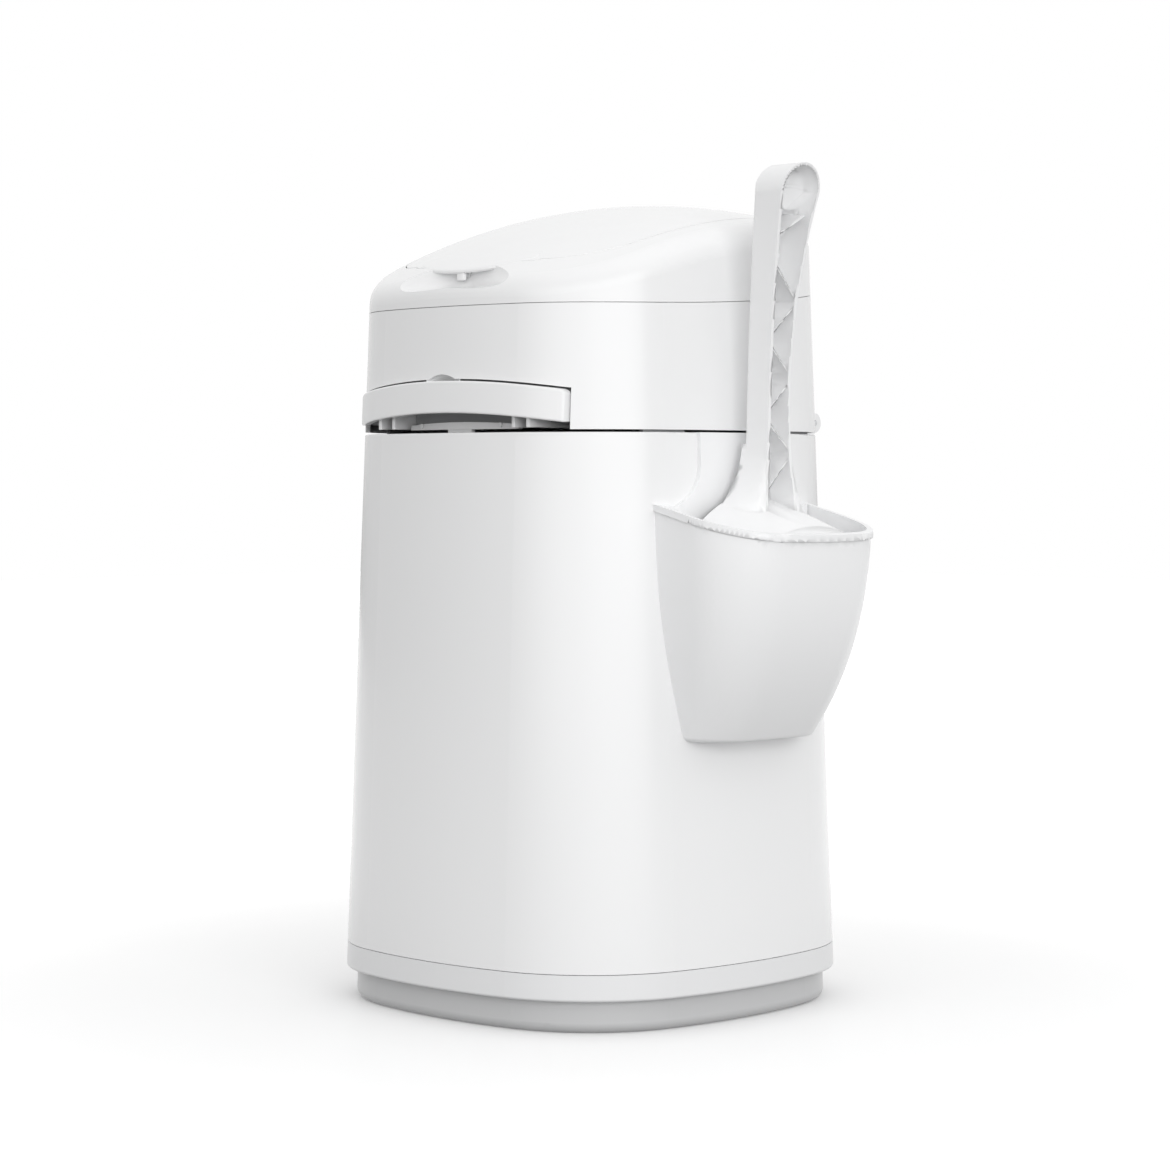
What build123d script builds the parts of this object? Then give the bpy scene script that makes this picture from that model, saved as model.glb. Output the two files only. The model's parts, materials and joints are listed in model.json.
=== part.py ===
from build123d import *
import os
from math import atan2, cos, degrees, radians, sin, sqrt, tan

os.makedirs("parts", exist_ok=True)

# Litter disposal pail. Millimetres, +Z up, origin at the centre of the base's underside.
# The pull handle and the thumb recess face -Y, the scoop hangs on +X, the hinge is at +Y.

# --- Drafted column: the rounded-square outline that every housing shares -------------
BASE_WIDTH = 241.0          # across the flats, at the floor
SIDE_RADIUS = 274.0         # bow of each side, at the floor
CORNER_RADIUS = 79.0        # round of each corner, at the floor
DRAFT_ANGLE = 2.1           # degrees that the walls lean in

# --- Heights above the floor ----------------------------------------------------------
PLINTH_HEIGHT = 16.8        # underside of the base's band
BASE_HEIGHT = 30.5          # seam between base and lower shell
SPLIT_HEIGHT = 303.5        # where the top section parts from the pail
DECK_HEIGHT = 346.0         # top of the cassette deck
SEAM_HEIGHT = 367.9         # seam between upper shell and cap, at the front
CROWN_HEIGHT = 427.6        # highest point of the dome

# --- Walls and clearances -------------------------------------------------------------
WALL = 2.6                  # moulded housings
FIT = 0.4                   # loose fit between moulded pieces
HAIRLINE = 0.35             # closed seam between two mouldings
SPLIT_GAP = 1.3             # shadow gap between pail and top section
PIN_PLAY = 0.06             # radial play of a pin in a turning knuckle

# --- Base -----------------------------------------------------------------------------
PLINTH_INSET = 6.0
PLINTH_EDGE = 5.0           # rounded lower edge
FLOOR_THICKNESS = 3.0
UPSTAND = 9.0               # ring that locates the lower shell
RIB = 2.4
RIB_PITCH = 44.0
HUB_RADIUS = 20.0
PAD_RADIUS = 11.0
PAD_DEPTH = 3.0
PAD_REACH = 74.0            # foot pads from the centre, along X and Y

# --- Rear hinge -----------------------------------------------------------------------
HINGE_RADIUS = 5.5
HINGE_SETBACK = 3.6         # axis behind the rear wall
HINGE_RISE = 6.5            # axis above the split
HINGE_HALF = 62.0
LUG_WIDTH = 14.0
LUG_DROP = 17.0             # root of each lug below the split
HINGE_PIN_RADIUS = 1.75
KNUCKLE_GAP = 0.5

# --- Scoop holder ---------------------------------------------------------------------
HOLDER_SKIN = 2.4
PLATE_HALF = 31.0           # back plate where it hooks over the rim
PLATE_FLARE = 23.0          # concave flare from the plate into the pocket
HOOK_THICKNESS = 2.2
HOOK_DROP = 11.0
RIM_HEIGHT = 264.5          # pocket rim at the pail's wall
RIM_SLOPE = 0.235           # fall of the rim per mm outwards
BEAD = 1.3                  # rolled bead round the rim
BEAD_HEIGHT = 3.4
POCKET_FLOOR = 146.0
POCKET_REACH = 167.5        # front of the pocket from the pail's axis
POCKET_BELLY = 178.0        # radius of the pocket's front, seen from the side
POCKET_BELLY_HEIGHT = 250.0
POCKET_HALF = 64.0          # half width at the rim
POCKET_TAPER = 0.178        # half width lost per mm down
POCKET_FRONT_RADIUS = 250.0
POCKET_CORNER = 40.0        # corner radius at the rim
POCKET_CORNER_LOW = 22.0    # corner radius at the floor

# --- Scoop ----------------------------------------------------------------------------
SCOOP_TRAVEL = 125.0
PAN_GAP = 4.0               # pan to pocket
PAN_REST = 0.2              # digging edge above the pocket's floor
PAN_SKIN = 1.8
PAN_BACK = 118.0            # open back of the pan, from the pail's axis
PAN_CREST = 266.0           # top of the shoulder at the pan's back
PAN_CREST_FALL = 0.36       # fall of the shoulder per mm outwards
PAN_CROWN = 78.0            # arch of the shoulder across the pan
SLOT_WIDTH = 4.6
SLOT_PITCH = 8.6
SLOT_COUNT = 7
SLOT_LOW = 170.0
SLOT_HIGH = 236.0
HEAD_RADIUS = 14.6
HEAD_HEIGHT = 424.0
WAIST_HALF = 8.1
WAIST_HEIGHT = 325.0
WAIST_BOW_UP = 754.0
WAIST_BOW_DOWN = 509.0
FOOT_HEIGHT = 262.0
GRIP_BACK = 120.0
GRIP_BACK_BOW = 620.0
GRIP_FRONT = 136.0
GRIP_FRONT_BOW = 500.0
GRIP_BOW_HEIGHT = 307.0
GRIP_EDGE = 2.2             # round on the handle's rear edges
FLANGE = 1.9
WEB = 2.2
DISH_DEPTH = 6.5
CHANNEL_TOP = 416.0
CHANNEL_ARCH = 15.0
ZIGZAG_APEX = 369.0
ZIGZAG_PITCH = 38.6
ZIGZAG_COUNT = 3
ZIGZAG_SPLIT = 2.6          # between the two ribs at an apex
GRIP_RIB = 1.2
FLARE_RADIUS = 42.0
FLARE_TOP = 297.0
FLARE_ROOT = 0.25           # start of the flare inside the handle
FLARE_REAR = 1.6            # back of the flare behind the handle

# --- Cap and lid ----------------------------------------------------------------------
CROWN_SETBACK = 43.3        # crown behind the pail's axis
CROWN_ACROSS = 336.2        # dome radius from side to side
CROWN_ALONG = 260.6         # dome radius from front to back
SHOULDER = 16.0
SEAM_BREAK = 85.0           # seam is level in front of here and then rises
SEAM_RADIUS = 1370.0
SPIGOT_DEPTH = 7.0
SPIGOT_THICKNESS = 2.0
LID_INSET = 18.0            # lid edge inside the drafted wall
LID_SKIN = 2.4
LID_GAP = 0.6
LID_EDGE = 0.5
LEDGE_WIDTH = 5.0
LEDGE_DEPTH = 2.0
LIP_HALF = 47.0
LIP_REACH = 91.6            # front of the lip from the pail's axis
LIP_ROOT = 83.5
TAB_HALF = 3.4
TAB_DEPTH = 3.6
RECESS_HEIGHT = 388.6
RECESS_SETBACK = 102.0
RECESS_TUBE = 12.0
RECESS_SWEEP = 108.0        # plan radius of the scooped recess
LID_HINGE_SETBACK = 81.0
LID_ROLL = 5.0              # rolled rear edge of the lid
LID_ROLL_HALF = 53.0
TROUGH_SKIN = 2.0
LID_PIN_RADIUS = 1.25
LID_PIN_HALF = 41.0
LID_EAR_RADIUS = 3.0
LID_EAR_AT = 30.0
LID_EAR_WIDTH = 5.0
LID_SWING = 3.0             # inner parts set back, because the lid moves forward as it lifts
LID_RIB_DEPTH = 4.0
LINER_THICKNESS = 1.8
SEAL_WIDTH = 3.0

# --- Pull handle and gate -------------------------------------------------------------
HANDLE_HALF = 77.0
HANDLE_TOP = 329.6          # top edge at the middle
HANDLE_BOTTOM = 313.0       # bottom edge at the middle
HANDLE_ARCH = 545.0
HANDLE_PROUD = 2.6
HANDLE_THICKNESS = 4.4
HANDLE_CORNER = 3.2
HANDLE_EDGE = 1.1
HANDLE_GAP = 1.0
RELIEF_HALF = 11.5          # finger relief above the handle
RELIEF_HEIGHT = 3.4
ARM_INNER = 44.5
ARM_WIDTH = 13.0
ARM_RIB = 2.4
ARM_LOW = 305.2
ARM_HIGH = 322.0
GATE_TRAVEL = 50.0
GATE_FLOOR = 310.5          # top of the chassis floor
GATE_FLOOR_THICKNESS = 2.5
GATE_PLATE = 3.0
GATE_PLAY = 0.3
GATE_HALF = 72.0
GATE_FRONT = -33.0
GATE_REAR = 22.0
JAW_DEPTH = 3.9
JAW_HEIGHT = 6.2
PASSAGE_HALF = 44.0
PASSAGE_FRONT = -30.0
PASSAGE_REAR = 24.0
GUIDE = 2.2
FRAME_RIM = 2.2
FRAME_TOP = 338.0
FRAME_FRONT = -84.4
SKIRT_DEPTH = 7.5
SKIRT_CLEAR = 1.6
SKIRT_FRONT = -60.0         # no skirt ahead of here, where it swings forward
SPRING_RADIUS = 4.0
SPRING_WIRE = 0.65
SPRING_COILS = 13
SPRING_AT = 63.5
SPRING_LUG = 9.0            # spring lug on the slide, along Y
SCREW_RADIUS = 1.4
SCREW_HEAD = 3.0
BOSS_RADIUS = 4.4
BOSS_X = 92.5
BOSS_Y = 53.0

# --- Latch ----------------------------------------------------------------------------
LATCH_HALF = 41.0
LATCH_TOP = 308.6
LATCH_ARCH = 600.0
LATCH_INSET = 13.0
LATCH_THICKNESS = 3.0
LATCH_TRAVEL = 3.0
LATCH_PIN_AT = 30.0
LATCH_PIN_RADIUS = 1.2
HOOK_HALF = 9.0
HOOK_LOW = 288.0
HOOK_BARB = 4.0
STRIKER_HEIGHT = 293.0
STRIKER_THICKNESS = 3.0
STRIKER_REACH = 6.0
STRIKER_CLEAR = 1.1

# --- Cassette and funnel --------------------------------------------------------------
CASSETTE_HALF = 72.0
CASSETTE_CORNER = 22.0
CASSETTE_HEIGHT = 30.0
CASSETTE_CHANNEL = 17.0     # radial width of the film tray
CASSETTE_SKIN = 1.8
FILM_SLOT = 3.0
DECK_THICKNESS = 3.0
COLLAR_HEIGHT = 9.0
THROAT_TOP = 54.0
THROAT_SKIN = 1.8
THROAT_LOW = 318.0
LEDGE_THICKNESS = 2.6
LEDGE_REACH = 8.0

# --- Film cutter ----------------------------------------------------------------------
CUTTER_LENGTH = 48.0
CUTTER_DEPTH = 11.0
CUTTER_LOW = 258.0
CUTTER_HEIGHT = 22.0
CUTTER_SLOT = 3.2
BLADE_LENGTH = 18.0
BLADE_WIDTH = 8.0
BLADE_THICKNESS = 0.6

# --- Values that follow ---------------------------------------------------------------
DRAFT = tan(radians(DRAFT_ANGLE))
HALF = BASE_WIDTH / 2
SIDE_SHIFT = SIDE_RADIUS - HALF
CORNER_SHIFT = SIDE_RADIUS - CORNER_RADIUS
CORNER_AT = (sqrt(2 * CORNER_SHIFT**2 - SIDE_SHIFT**2) - SIDE_SHIFT) / 2
TANGENT = degrees(atan2(CORNER_AT, CORNER_AT + SIDE_SHIFT))
REACH = 600.0               # longer than anything in the pail, for cutting shapes
LOWER_TOP = SPLIT_HEIGHT - SPLIT_GAP / 2
UPPER_LOW = SPLIT_HEIGHT + SPLIT_GAP / 2


def wall_at(height):
    """Half width of the column at a height, on its flats."""
    return HALF - DRAFT * height


HINGE_Z = SPLIT_HEIGHT + HINGE_RISE
HINGE_Y = wall_at(HINGE_Z) + HINGE_SETBACK
DOME_AXIS = CROWN_HEIGHT - CROWN_ACROSS


def bow(start, radius, distance):
    """Where an arc that leaves start square to the measured line is after distance."""
    return start + radius - sqrt(radius**2 - distance**2)


def dome_height(x, y):
    """Height of the dome over a point of the plan."""
    ring = CROWN_ACROSS - bow(0, CROWN_ALONG, y - CROWN_SETBACK)
    return DOME_AXIS + sqrt(ring**2 - x**2)


LID_HINGE_Z = dome_height(0, LID_HINGE_SETBACK) - LID_ROLL


# --- Shared shapes --------------------------------------------------------------------
def outline(inset, height):
    """Rounded-square face of the column at a height, drawn in by inset."""
    drawn = inset + DRAFT * height
    arcs = []
    for quarter in range(4):
        turn = 90 * quarter
        side = Vector(-SIDE_SHIFT, 0, 0).rotate(Axis.Z, turn)
        corner = Vector(CORNER_AT, CORNER_AT, 0).rotate(Axis.Z, turn)
        arcs.append(CenterArc((side.X, side.Y), SIDE_RADIUS - drawn, turn - TANGENT, 2 * TANGENT))
        arcs.append(
            CenterArc((corner.X, corner.Y), CORNER_RADIUS - drawn, turn + TANGENT, 90 - 2 * TANGENT)
        )
    return Pos(0, 0, height) * make_face(arcs)


def column(inset, low, high):
    """Drafted column between two heights, drawn in by inset."""
    return loft([outline(inset, low), outline(inset, high)], ruled=True)


def block(x, y, z):
    """Box between two values along each axis."""
    size = (x[1] - x[0], y[1] - y[0], z[1] - z[0])
    middle = ((x[0] + x[1]) / 2, (y[0] + y[1]) / 2, (z[0] + z[1]) / 2)
    return Pos(*middle) * Box(*size)


def along_x(face, x):
    """Face drawn in Y and Z, made solid between two values of X."""
    return Pos(x[0], 0, 0) * extrude(Plane.YZ * face, amount=x[1] - x[0])


def along_y(face, y):
    """Face drawn in X and Z, made solid between two values of Y."""
    return Pos(0, y[1], 0) * extrude(Plane.XZ * face, amount=y[1] - y[0])


def polygon(*points):
    """Flat face through the points."""
    return make_face(Polyline(*points, close=True))


def rod_x(radius, x, y, z):
    """Round rod along X between two values of X."""
    return Pos((x[0] + x[1]) / 2, y, z) * Rot(0, 90, 0) * Cylinder(radius, x[1] - x[0])


def rod_y(radius, x, y, z):
    """Round rod along Y between two values of Y."""
    return Pos(x, (y[0] + y[1]) / 2, z) * Rot(90, 0, 0) * Cylinder(radius, y[1] - y[0])


def rod_z(radius, x, y, z):
    """Round rod along Z between two values of Z."""
    return Pos(x, y, (z[0] + z[1]) / 2) * Cylinder(radius, z[1] - z[0])


def mirrored_x(shape):
    """The shape and its mirror image on the other side of X = 0."""
    return shape + mirror(shape, about=Plane.YZ)


def rounded(shape, edges, radius):
    """Shape with the edges rounded."""
    return fillet(ShapeList(edges), radius)


def corner_group(make, x, y):
    """Four copies of what make(x, y) builds, one for each corner."""
    return [make(sx * x, sy * y) for sx in (-1, 1) for sy in (-1, 1)]


# --- Lower pail -----------------------------------------------------------------------
def make_base():
    """Recessed plinth and band in one moulding, with the pail's floor and ribs below it."""
    band_top = BASE_HEIGHT - HAIRLINE / 2
    band = column(0, PLINTH_HEIGHT, band_top)
    band = rounded(band, band.edges().group_by(Axis.Z)[0], 1.4)
    plinth = column(PLINTH_INSET, 0, PLINTH_HEIGHT + 1)
    plinth = rounded(plinth, plinth.edges().group_by(Axis.Z)[0], PLINTH_EDGE)
    floor_top = PLINTH_HEIGHT + FLOOR_THICKNESS / 2
    solid = band + plinth
    solid += column(WALL + FIT / 2, BASE_HEIGHT - WALL, BASE_HEIGHT + UPSTAND)
    solid -= column(2 * WALL, floor_top, BASE_HEIGHT + UPSTAND + 1)
    under = column(PLINTH_INSET + PLINTH_EDGE + 1, -1, floor_top - FLOOR_THICKNESS)
    for step in (-2, -1, 0, 1, 2):
        at = step * RIB_PITCH
        under -= block((at - RIB / 2, at + RIB / 2), (-HALF, HALF), (-2, PLINTH_HEIGHT))
        under -= block((-HALF, HALF), (at - RIB / 2, at + RIB / 2), (-2, PLINTH_HEIGHT))
    under -= rod_z(HUB_RADIUS, 0, 0, (-2, PLINTH_HEIGHT))
    for boss in corner_group(pad_boss, PAD_REACH, PAD_REACH):
        under -= boss
    solid -= under
    for pad in corner_group(foot_pad, PAD_REACH, PAD_REACH):
        solid -= pad
    return solid


def pad_boss(x, y):
    return rod_z(PAD_RADIUS + RIB, x, y, (-2, PLINTH_HEIGHT))


def foot_pad(x, y):
    return rod_z(PAD_RADIUS, x, y, (0, PAD_DEPTH))


def make_foot_pads():
    """Four rubber discs set flush into the underside."""
    return corner_group(foot_pad, PAD_REACH, PAD_REACH)


def hinge_leaf(x, root, low):
    """Length of hinge barrel with a leaf down to low, where it meets the wall at root."""
    leaf = polygon(
        (root, low),
        (HINGE_Y + HINGE_RADIUS * 0.2, HINGE_Z - HINGE_RADIUS * 0.9),
        (HINGE_Y, HINGE_Z),
        (root, HINGE_Z),
    )
    return rod_x(HINGE_RADIUS, x, HINGE_Y, HINGE_Z) + along_x(leaf, x)


def lug_span():
    """X range of the +X lug of the lower shell."""
    return (HINGE_HALF - LUG_WIDTH, HINGE_HALF)


def make_lower_shell():
    """Tall drafted shell with its rim, two hinge lugs and the latch's striker."""
    bottom = BASE_HEIGHT + HAIRLINE / 2
    outer = column(0, bottom, LOWER_TOP)
    outer = rounded(outer, outer.edges().group_by(Axis.Z)[-1], 0.7)
    shell = outer - column(WALL, bottom - 1, LOWER_TOP + 1)
    rim = column(WALL / 2, LOWER_TOP - 9, LOWER_TOP) - column(WALL + 0.8, LOWER_TOP - 10, LOWER_TOP + 1)
    shell += rim
    lug_root = LOWER_TOP - LUG_DROP
    lug = hinge_leaf(lug_span(), HINGE_Y - 3 * HINGE_RADIUS, lug_root)
    lug -= column(WALL / 2, lug_root - 5, LOWER_TOP - 0.5)
    lug -= column(-KNUCKLE_GAP, LOWER_TOP - 0.5, HINGE_Z + 2 * HINGE_RADIUS)
    shell += mirrored_x(lug)
    striker_front = -wall_at(STRIKER_HEIGHT) + WALL / 2
    striker = polygon(
        (striker_front, STRIKER_HEIGHT),
        (striker_front + WALL / 2 + STRIKER_REACH, STRIKER_HEIGHT),
        (striker_front + WALL / 2 + STRIKER_REACH, STRIKER_HEIGHT + STRIKER_THICKNESS / 2),
        (striker_front, STRIKER_HEIGHT + 2 * STRIKER_THICKNESS),
    )
    shell += along_x(striker, (-HOOK_HALF - 1.5, HOOK_HALF + 1.5))
    notch_low = LOWER_TOP - HOOK_THICKNESS
    shell -= block((HALF / 2, HALF), (-PLATE_HALF - 0.1, PLATE_HALF + 0.1), (notch_low, LOWER_TOP + 1))
    shell -= rod_x(HINGE_PIN_RADIUS + 0.02, (-HALF, HALF), HINGE_Y, HINGE_Z)
    return shell


def make_pail_hinge_pin():
    """Steel pin through the rear hinge."""
    return rod_x(HINGE_PIN_RADIUS, (-HINGE_HALF - 0.5, HINGE_HALF + 0.5), HINGE_Y, HINGE_Z)


def pocket_section(inset, height):
    """D-shaped plan of the pocket at a height, drawn in by inset; its back is in the pail."""
    drop = POCKET_BELLY_HEIGHT - height
    front = POCKET_REACH - bow(0, POCKET_BELLY, drop) - inset
    half = POCKET_HALF - POCKET_TAPER * (RIM_HEIGHT - height) - inset
    share = (height - POCKET_FLOOR) / (RIM_HEIGHT - POCKET_FLOOR)
    corner = POCKET_CORNER_LOW + (POCKET_CORNER - POCKET_CORNER_LOW) * share - inset
    bowed = POCKET_FRONT_RADIUS - inset
    centre = front - bowed
    corner_x = centre + sqrt((bowed - corner) ** 2 - (half - corner) ** 2)
    angle = degrees(atan2(half - corner, corner_x - centre))
    back = HALF / 2
    edges = [
        CenterArc((centre, 0), bowed, -angle, 2 * angle),
        CenterArc((corner_x, half - corner), corner, angle, 90 - angle),
        Line((corner_x, half), (back, half)),
        Line((back, half), (back, -half)),
        Line((back, -half), (corner_x, -half)),
        CenterArc((corner_x, corner - half), corner, -90, 90 - angle),
    ]
    return Pos(0, 0, height) * make_face(edges)


def pocket_form(inset, low, high, steps=5):
    """Solid of the tapered pocket between two heights, drawn in by inset."""
    sections = [
        pocket_section(inset, low + (high - low) * step / steps) for step in range(steps + 1)
    ]
    return loft(sections)


def rim_height(x, lift=0.0):
    """Height of the sloping rim's plane at a distance from the pail's axis."""
    return RIM_HEIGHT - RIM_SLOPE * (x - wall_at(RIM_HEIGHT)) + lift


def under_rim(lift=0.0):
    """Everything below the sloping rim."""
    near, far = 0.0, 2 * HALF
    profile = polygon(
        (near, 0),
        (far, 0),
        (far, rim_height(far, lift)),
        (near, rim_height(near, lift)),
    )
    return along_y(profile, (-HALF, HALF))


def make_scoop_holder():
    """Pocket for the scoop, its back plate and the hook that hangs it on the pail's rim."""
    high = RIM_HEIGHT + 8
    body = pocket_form(0, POCKET_FLOOR, high)
    body = rounded(body, floor_edges(body, POCKET_FLOOR), 3.5)
    bead = pocket_form(-BEAD, RIM_HEIGHT - 45, high) & under_rim()
    bead -= under_rim(-BEAD_HEIGHT)
    body = (body & under_rim()) + bead
    plate = holder_plate()
    body += plate
    body -= column(0, POCKET_FLOOR - 10, LOWER_TOP + 10)
    hollow = pocket_form(HOLDER_SKIN, POCKET_FLOOR + HOLDER_SKIN, high)
    hollow -= column(-HOLDER_SKIN, POCKET_FLOOR - 10, high + 10)
    body -= hollow
    hook_top = LOWER_TOP + 0.05
    hook = column(-HOLDER_SKIN, hook_top - HOOK_THICKNESS, hook_top)
    hook -= column(WALL + 0.8 + HOOK_THICKNESS, hook_top - HOOK_THICKNESS - 1, hook_top + 1)
    lip = column(WALL + 0.8, hook_top - HOOK_DROP, hook_top)
    lip -= column(WALL + 0.8 + HOOK_THICKNESS, hook_top - HOOK_DROP - 1, hook_top + 1)
    reach = block((HALF / 2, 2 * HALF), (-PLATE_HALF, PLATE_HALF), (0, REACH))
    return body + ((hook + lip) & reach)


def floor_edges(shape, height):
    """Curved edges that lie at a height."""
    return [
        edge
        for edge in shape.edges()
        if abs(edge.bounding_box().max.Z - height) < 0.01 and edge.center().X > HALF / 2 + 1
    ]


def holder_plate():
    """Back plate: straight at the hook, with a concave flare down into the pocket."""
    flare_z = RIM_HEIGHT + PLATE_FLARE
    wide = PLATE_HALF + PLATE_FLARE
    low = POCKET_FLOOR + 12
    middle = PLATE_FLARE * (1 - cos(radians(45)))
    right = [
        Line((0, LOWER_TOP), (PLATE_HALF, LOWER_TOP)),
        Line((PLATE_HALF, LOWER_TOP), (PLATE_HALF, flare_z)),
        ThreePointArc(
            (PLATE_HALF, flare_z),
            (PLATE_HALF + middle, RIM_HEIGHT + middle),
            (wide, RIM_HEIGHT),
        ),
        Line((wide, RIM_HEIGHT), (wide, RIM_HEIGHT - 8)),
        Line((wide, RIM_HEIGHT - 8), (0, low)),
        Line((0, low), (0, LOWER_TOP)),
    ]
    half = along_x(make_face(right), (HALF / 2, 2 * HALF))
    shape = half + mirror(half, about=Plane.XZ)
    skin = column(-HOLDER_SKIN, low - 10, LOWER_TOP + 5)
    return shape & skin


def make_cutter_housing():
    """Block on the inner left wall with an open slot that leads the film to the blade."""
    low, high = CUTTER_LOW, CUTTER_LOW + CUTTER_HEIGHT
    half = CUTTER_LENGTH / 2
    body = column(WALL, low, high) - column(WALL + CUTTER_DEPTH, low - 1, high + 1)
    body &= block((-HALF, -HALF / 2), (-half, half), (low, high))
    upright = [edge for edge in body.edges() if low + 1 < edge.center().Z < high - 1]
    body = rounded(body, ShapeList(upright).sort_by(Axis.X)[-2:], 3)
    slot_half = CUTTER_SLOT / 2
    mouth = polygon(
        (-slot_half, low + 6),
        (slot_half, low + 6),
        (slot_half, high - 5),
        (3 * slot_half, high + 1),
        (-3 * slot_half, high + 1),
        (-slot_half, high - 5),
    )
    wall_inside = wall_at(low) - WALL
    body -= along_x(mouth, (-wall_inside + 3, -wall_inside + 3 + CUTTER_DEPTH))
    return body - make_cutter_blade()


def make_cutter_blade():
    """Steel blade that crosses the slot."""
    middle = -(wall_at(CUTTER_LOW) - WALL) + 3 + BLADE_WIDTH / 2
    half = BLADE_LENGTH / 2
    level = CUTTER_LOW + CUTTER_HEIGHT / 2
    plan = polygon(
        (middle - BLADE_WIDTH / 2, -half),
        (middle + BLADE_WIDTH / 2, -half + 3),
        (middle + BLADE_WIDTH / 2, half - 3),
        (middle - BLADE_WIDTH / 2, half),
    )
    return Pos(0, 0, level) * extrude(plan, amount=BLADE_THICKNESS)


# --- Top section ----------------------------------------------------------------------
def under_seam(lift=0.0):
    """Everything below the seam that runs level in front and rises to the back."""
    back = HALF + 10
    height = SEAM_HEIGHT + lift

    def seam(y):
        return (y, bow(height, SEAM_RADIUS, y + SEAM_BREAK))

    edges = [
        Line((-back, height), (-SEAM_BREAK, height)),
        ThreePointArc((-SEAM_BREAK, height), seam((back - SEAM_BREAK) / 2), seam(back)),
        Line(seam(back), (back, 0)),
        Line((back, 0), (-back, 0)),
        Line((-back, 0), (-back, height)),
    ]
    return along_x(make_face(edges), (-HALF - 10, HALF + 10))


def arched_face(half, bottom, top, radius, corner=0.0):
    """Band seen from the front: two arches of one radius and upright ends."""

    def level(x, height):
        return height - bow(0, radius, x)

    edges = [
        ThreePointArc((-half, level(half, top)), (0, top), (half, level(half, top))),
        Line((half, level(half, top)), (half, level(half, bottom))),
        ThreePointArc((half, level(half, bottom)), (0, bottom), (-half, level(half, bottom))),
        Line((-half, level(half, bottom)), (-half, level(half, top))),
    ]
    face = make_face(edges)
    if corner > 0:
        face = fillet(face.vertices().group_by(Axis.Y)[-1], corner)
    return face


def make_upper_shell():
    """Shell between the pail and the cap, with the handle notch, knuckle and inner ledge."""
    high = SEAM_HEIGHT + 30
    shell = column(0, UPPER_LOW, high) - column(WALL, UPPER_LOW - 1, high + 1)
    shell &= under_seam(-HAIRLINE / 2)
    ledge_low = DECK_HEIGHT - DECK_THICKNESS - LEDGE_THICKNESS
    ledge_high = DECK_HEIGHT - DECK_THICKNESS
    ledge = column(WALL / 2, ledge_low, ledge_high)
    ledge -= column(WALL + LEDGE_REACH, ledge_low - 1, ledge_high + 1)
    shell += ledge
    for boss in corner_group(screw_boss, BOSS_X, BOSS_Y):
        shell += boss
    knuckle_half = HINGE_HALF - LUG_WIDTH - KNUCKLE_GAP
    knuckle = hinge_leaf((-knuckle_half, knuckle_half), HINGE_Y - 3 * HINGE_RADIUS, UPPER_LOW + 0.6)
    knuckle = mirror(knuckle, about=Plane((0, 0, HINGE_Z), z_dir=(0, 0, 1))) + knuckle
    shell += knuckle - column(WALL / 2, UPPER_LOW - 5, high)
    shell -= handle_notch()
    lug = lug_span()
    pocket = block(
        (lug[0] - KNUCKLE_GAP, lug[1] + KNUCKLE_GAP),
        (HALF / 2, HALF + 20),
        (UPPER_LOW - 1, HINGE_Z + HINGE_RADIUS + 0.8),
    )
    shell -= mirrored_x(pocket)
    shell -= rod_x(HINGE_PIN_RADIUS + PIN_PLAY, (-HALF, HALF), HINGE_Y, HINGE_Z)
    for screw in frame_screw_set():
        shell -= screw
    return shell


def screw_boss(x, y):
    high = DECK_HEIGHT - DECK_THICKNESS
    return rod_z(BOSS_RADIUS, x, y, (FRAME_TOP, high))


def handle_notch():
    """Opening in the front wall that the handle lies in, with the finger relief above it."""
    half = HANDLE_HALF + HANDLE_GAP
    face = arched_face(half, SPLIT_HEIGHT - 20, HANDLE_TOP + HANDLE_GAP, HANDLE_ARCH)
    notch = along_y(face, (-HALF - 10, -HALF / 2))
    rise = RELIEF_HEIGHT
    radius = (RELIEF_HALF**2 + rise**2) / (2 * rise)
    relief = Pos(0, 0, HANDLE_TOP + rise - radius) * Rot(90, 0, 0) * Cylinder(radius, 40)
    relief = Pos(0, -HALF, 0) * relief
    above = block((-RELIEF_HALF, RELIEF_HALF), (-HALF - 20, -HALF / 2), (HANDLE_TOP - 5, REACH))
    return notch + (relief & above)


def screw(x, y, head_low, head_high, tip):
    """Pan-head screw pointing up, with its head between two heights."""
    head = rod_z(SCREW_HEAD, x, y, (head_low, head_high))
    return head + rod_z(SCREW_RADIUS, x, y, (head_high - 0.1, tip))


def frame_screw_set():
    def make(x, y):
        low = FRAME_TOP - 3 - 2.2
        return screw(x, y, low, low + 2.2, FRAME_TOP + 4.5)

    return corner_group(make, BOSS_X, BOSS_Y)


def arm_span():
    """X range of the +X pair of handle arms."""
    return (ARM_INNER, ARM_INNER + ARM_WIDTH)


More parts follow.
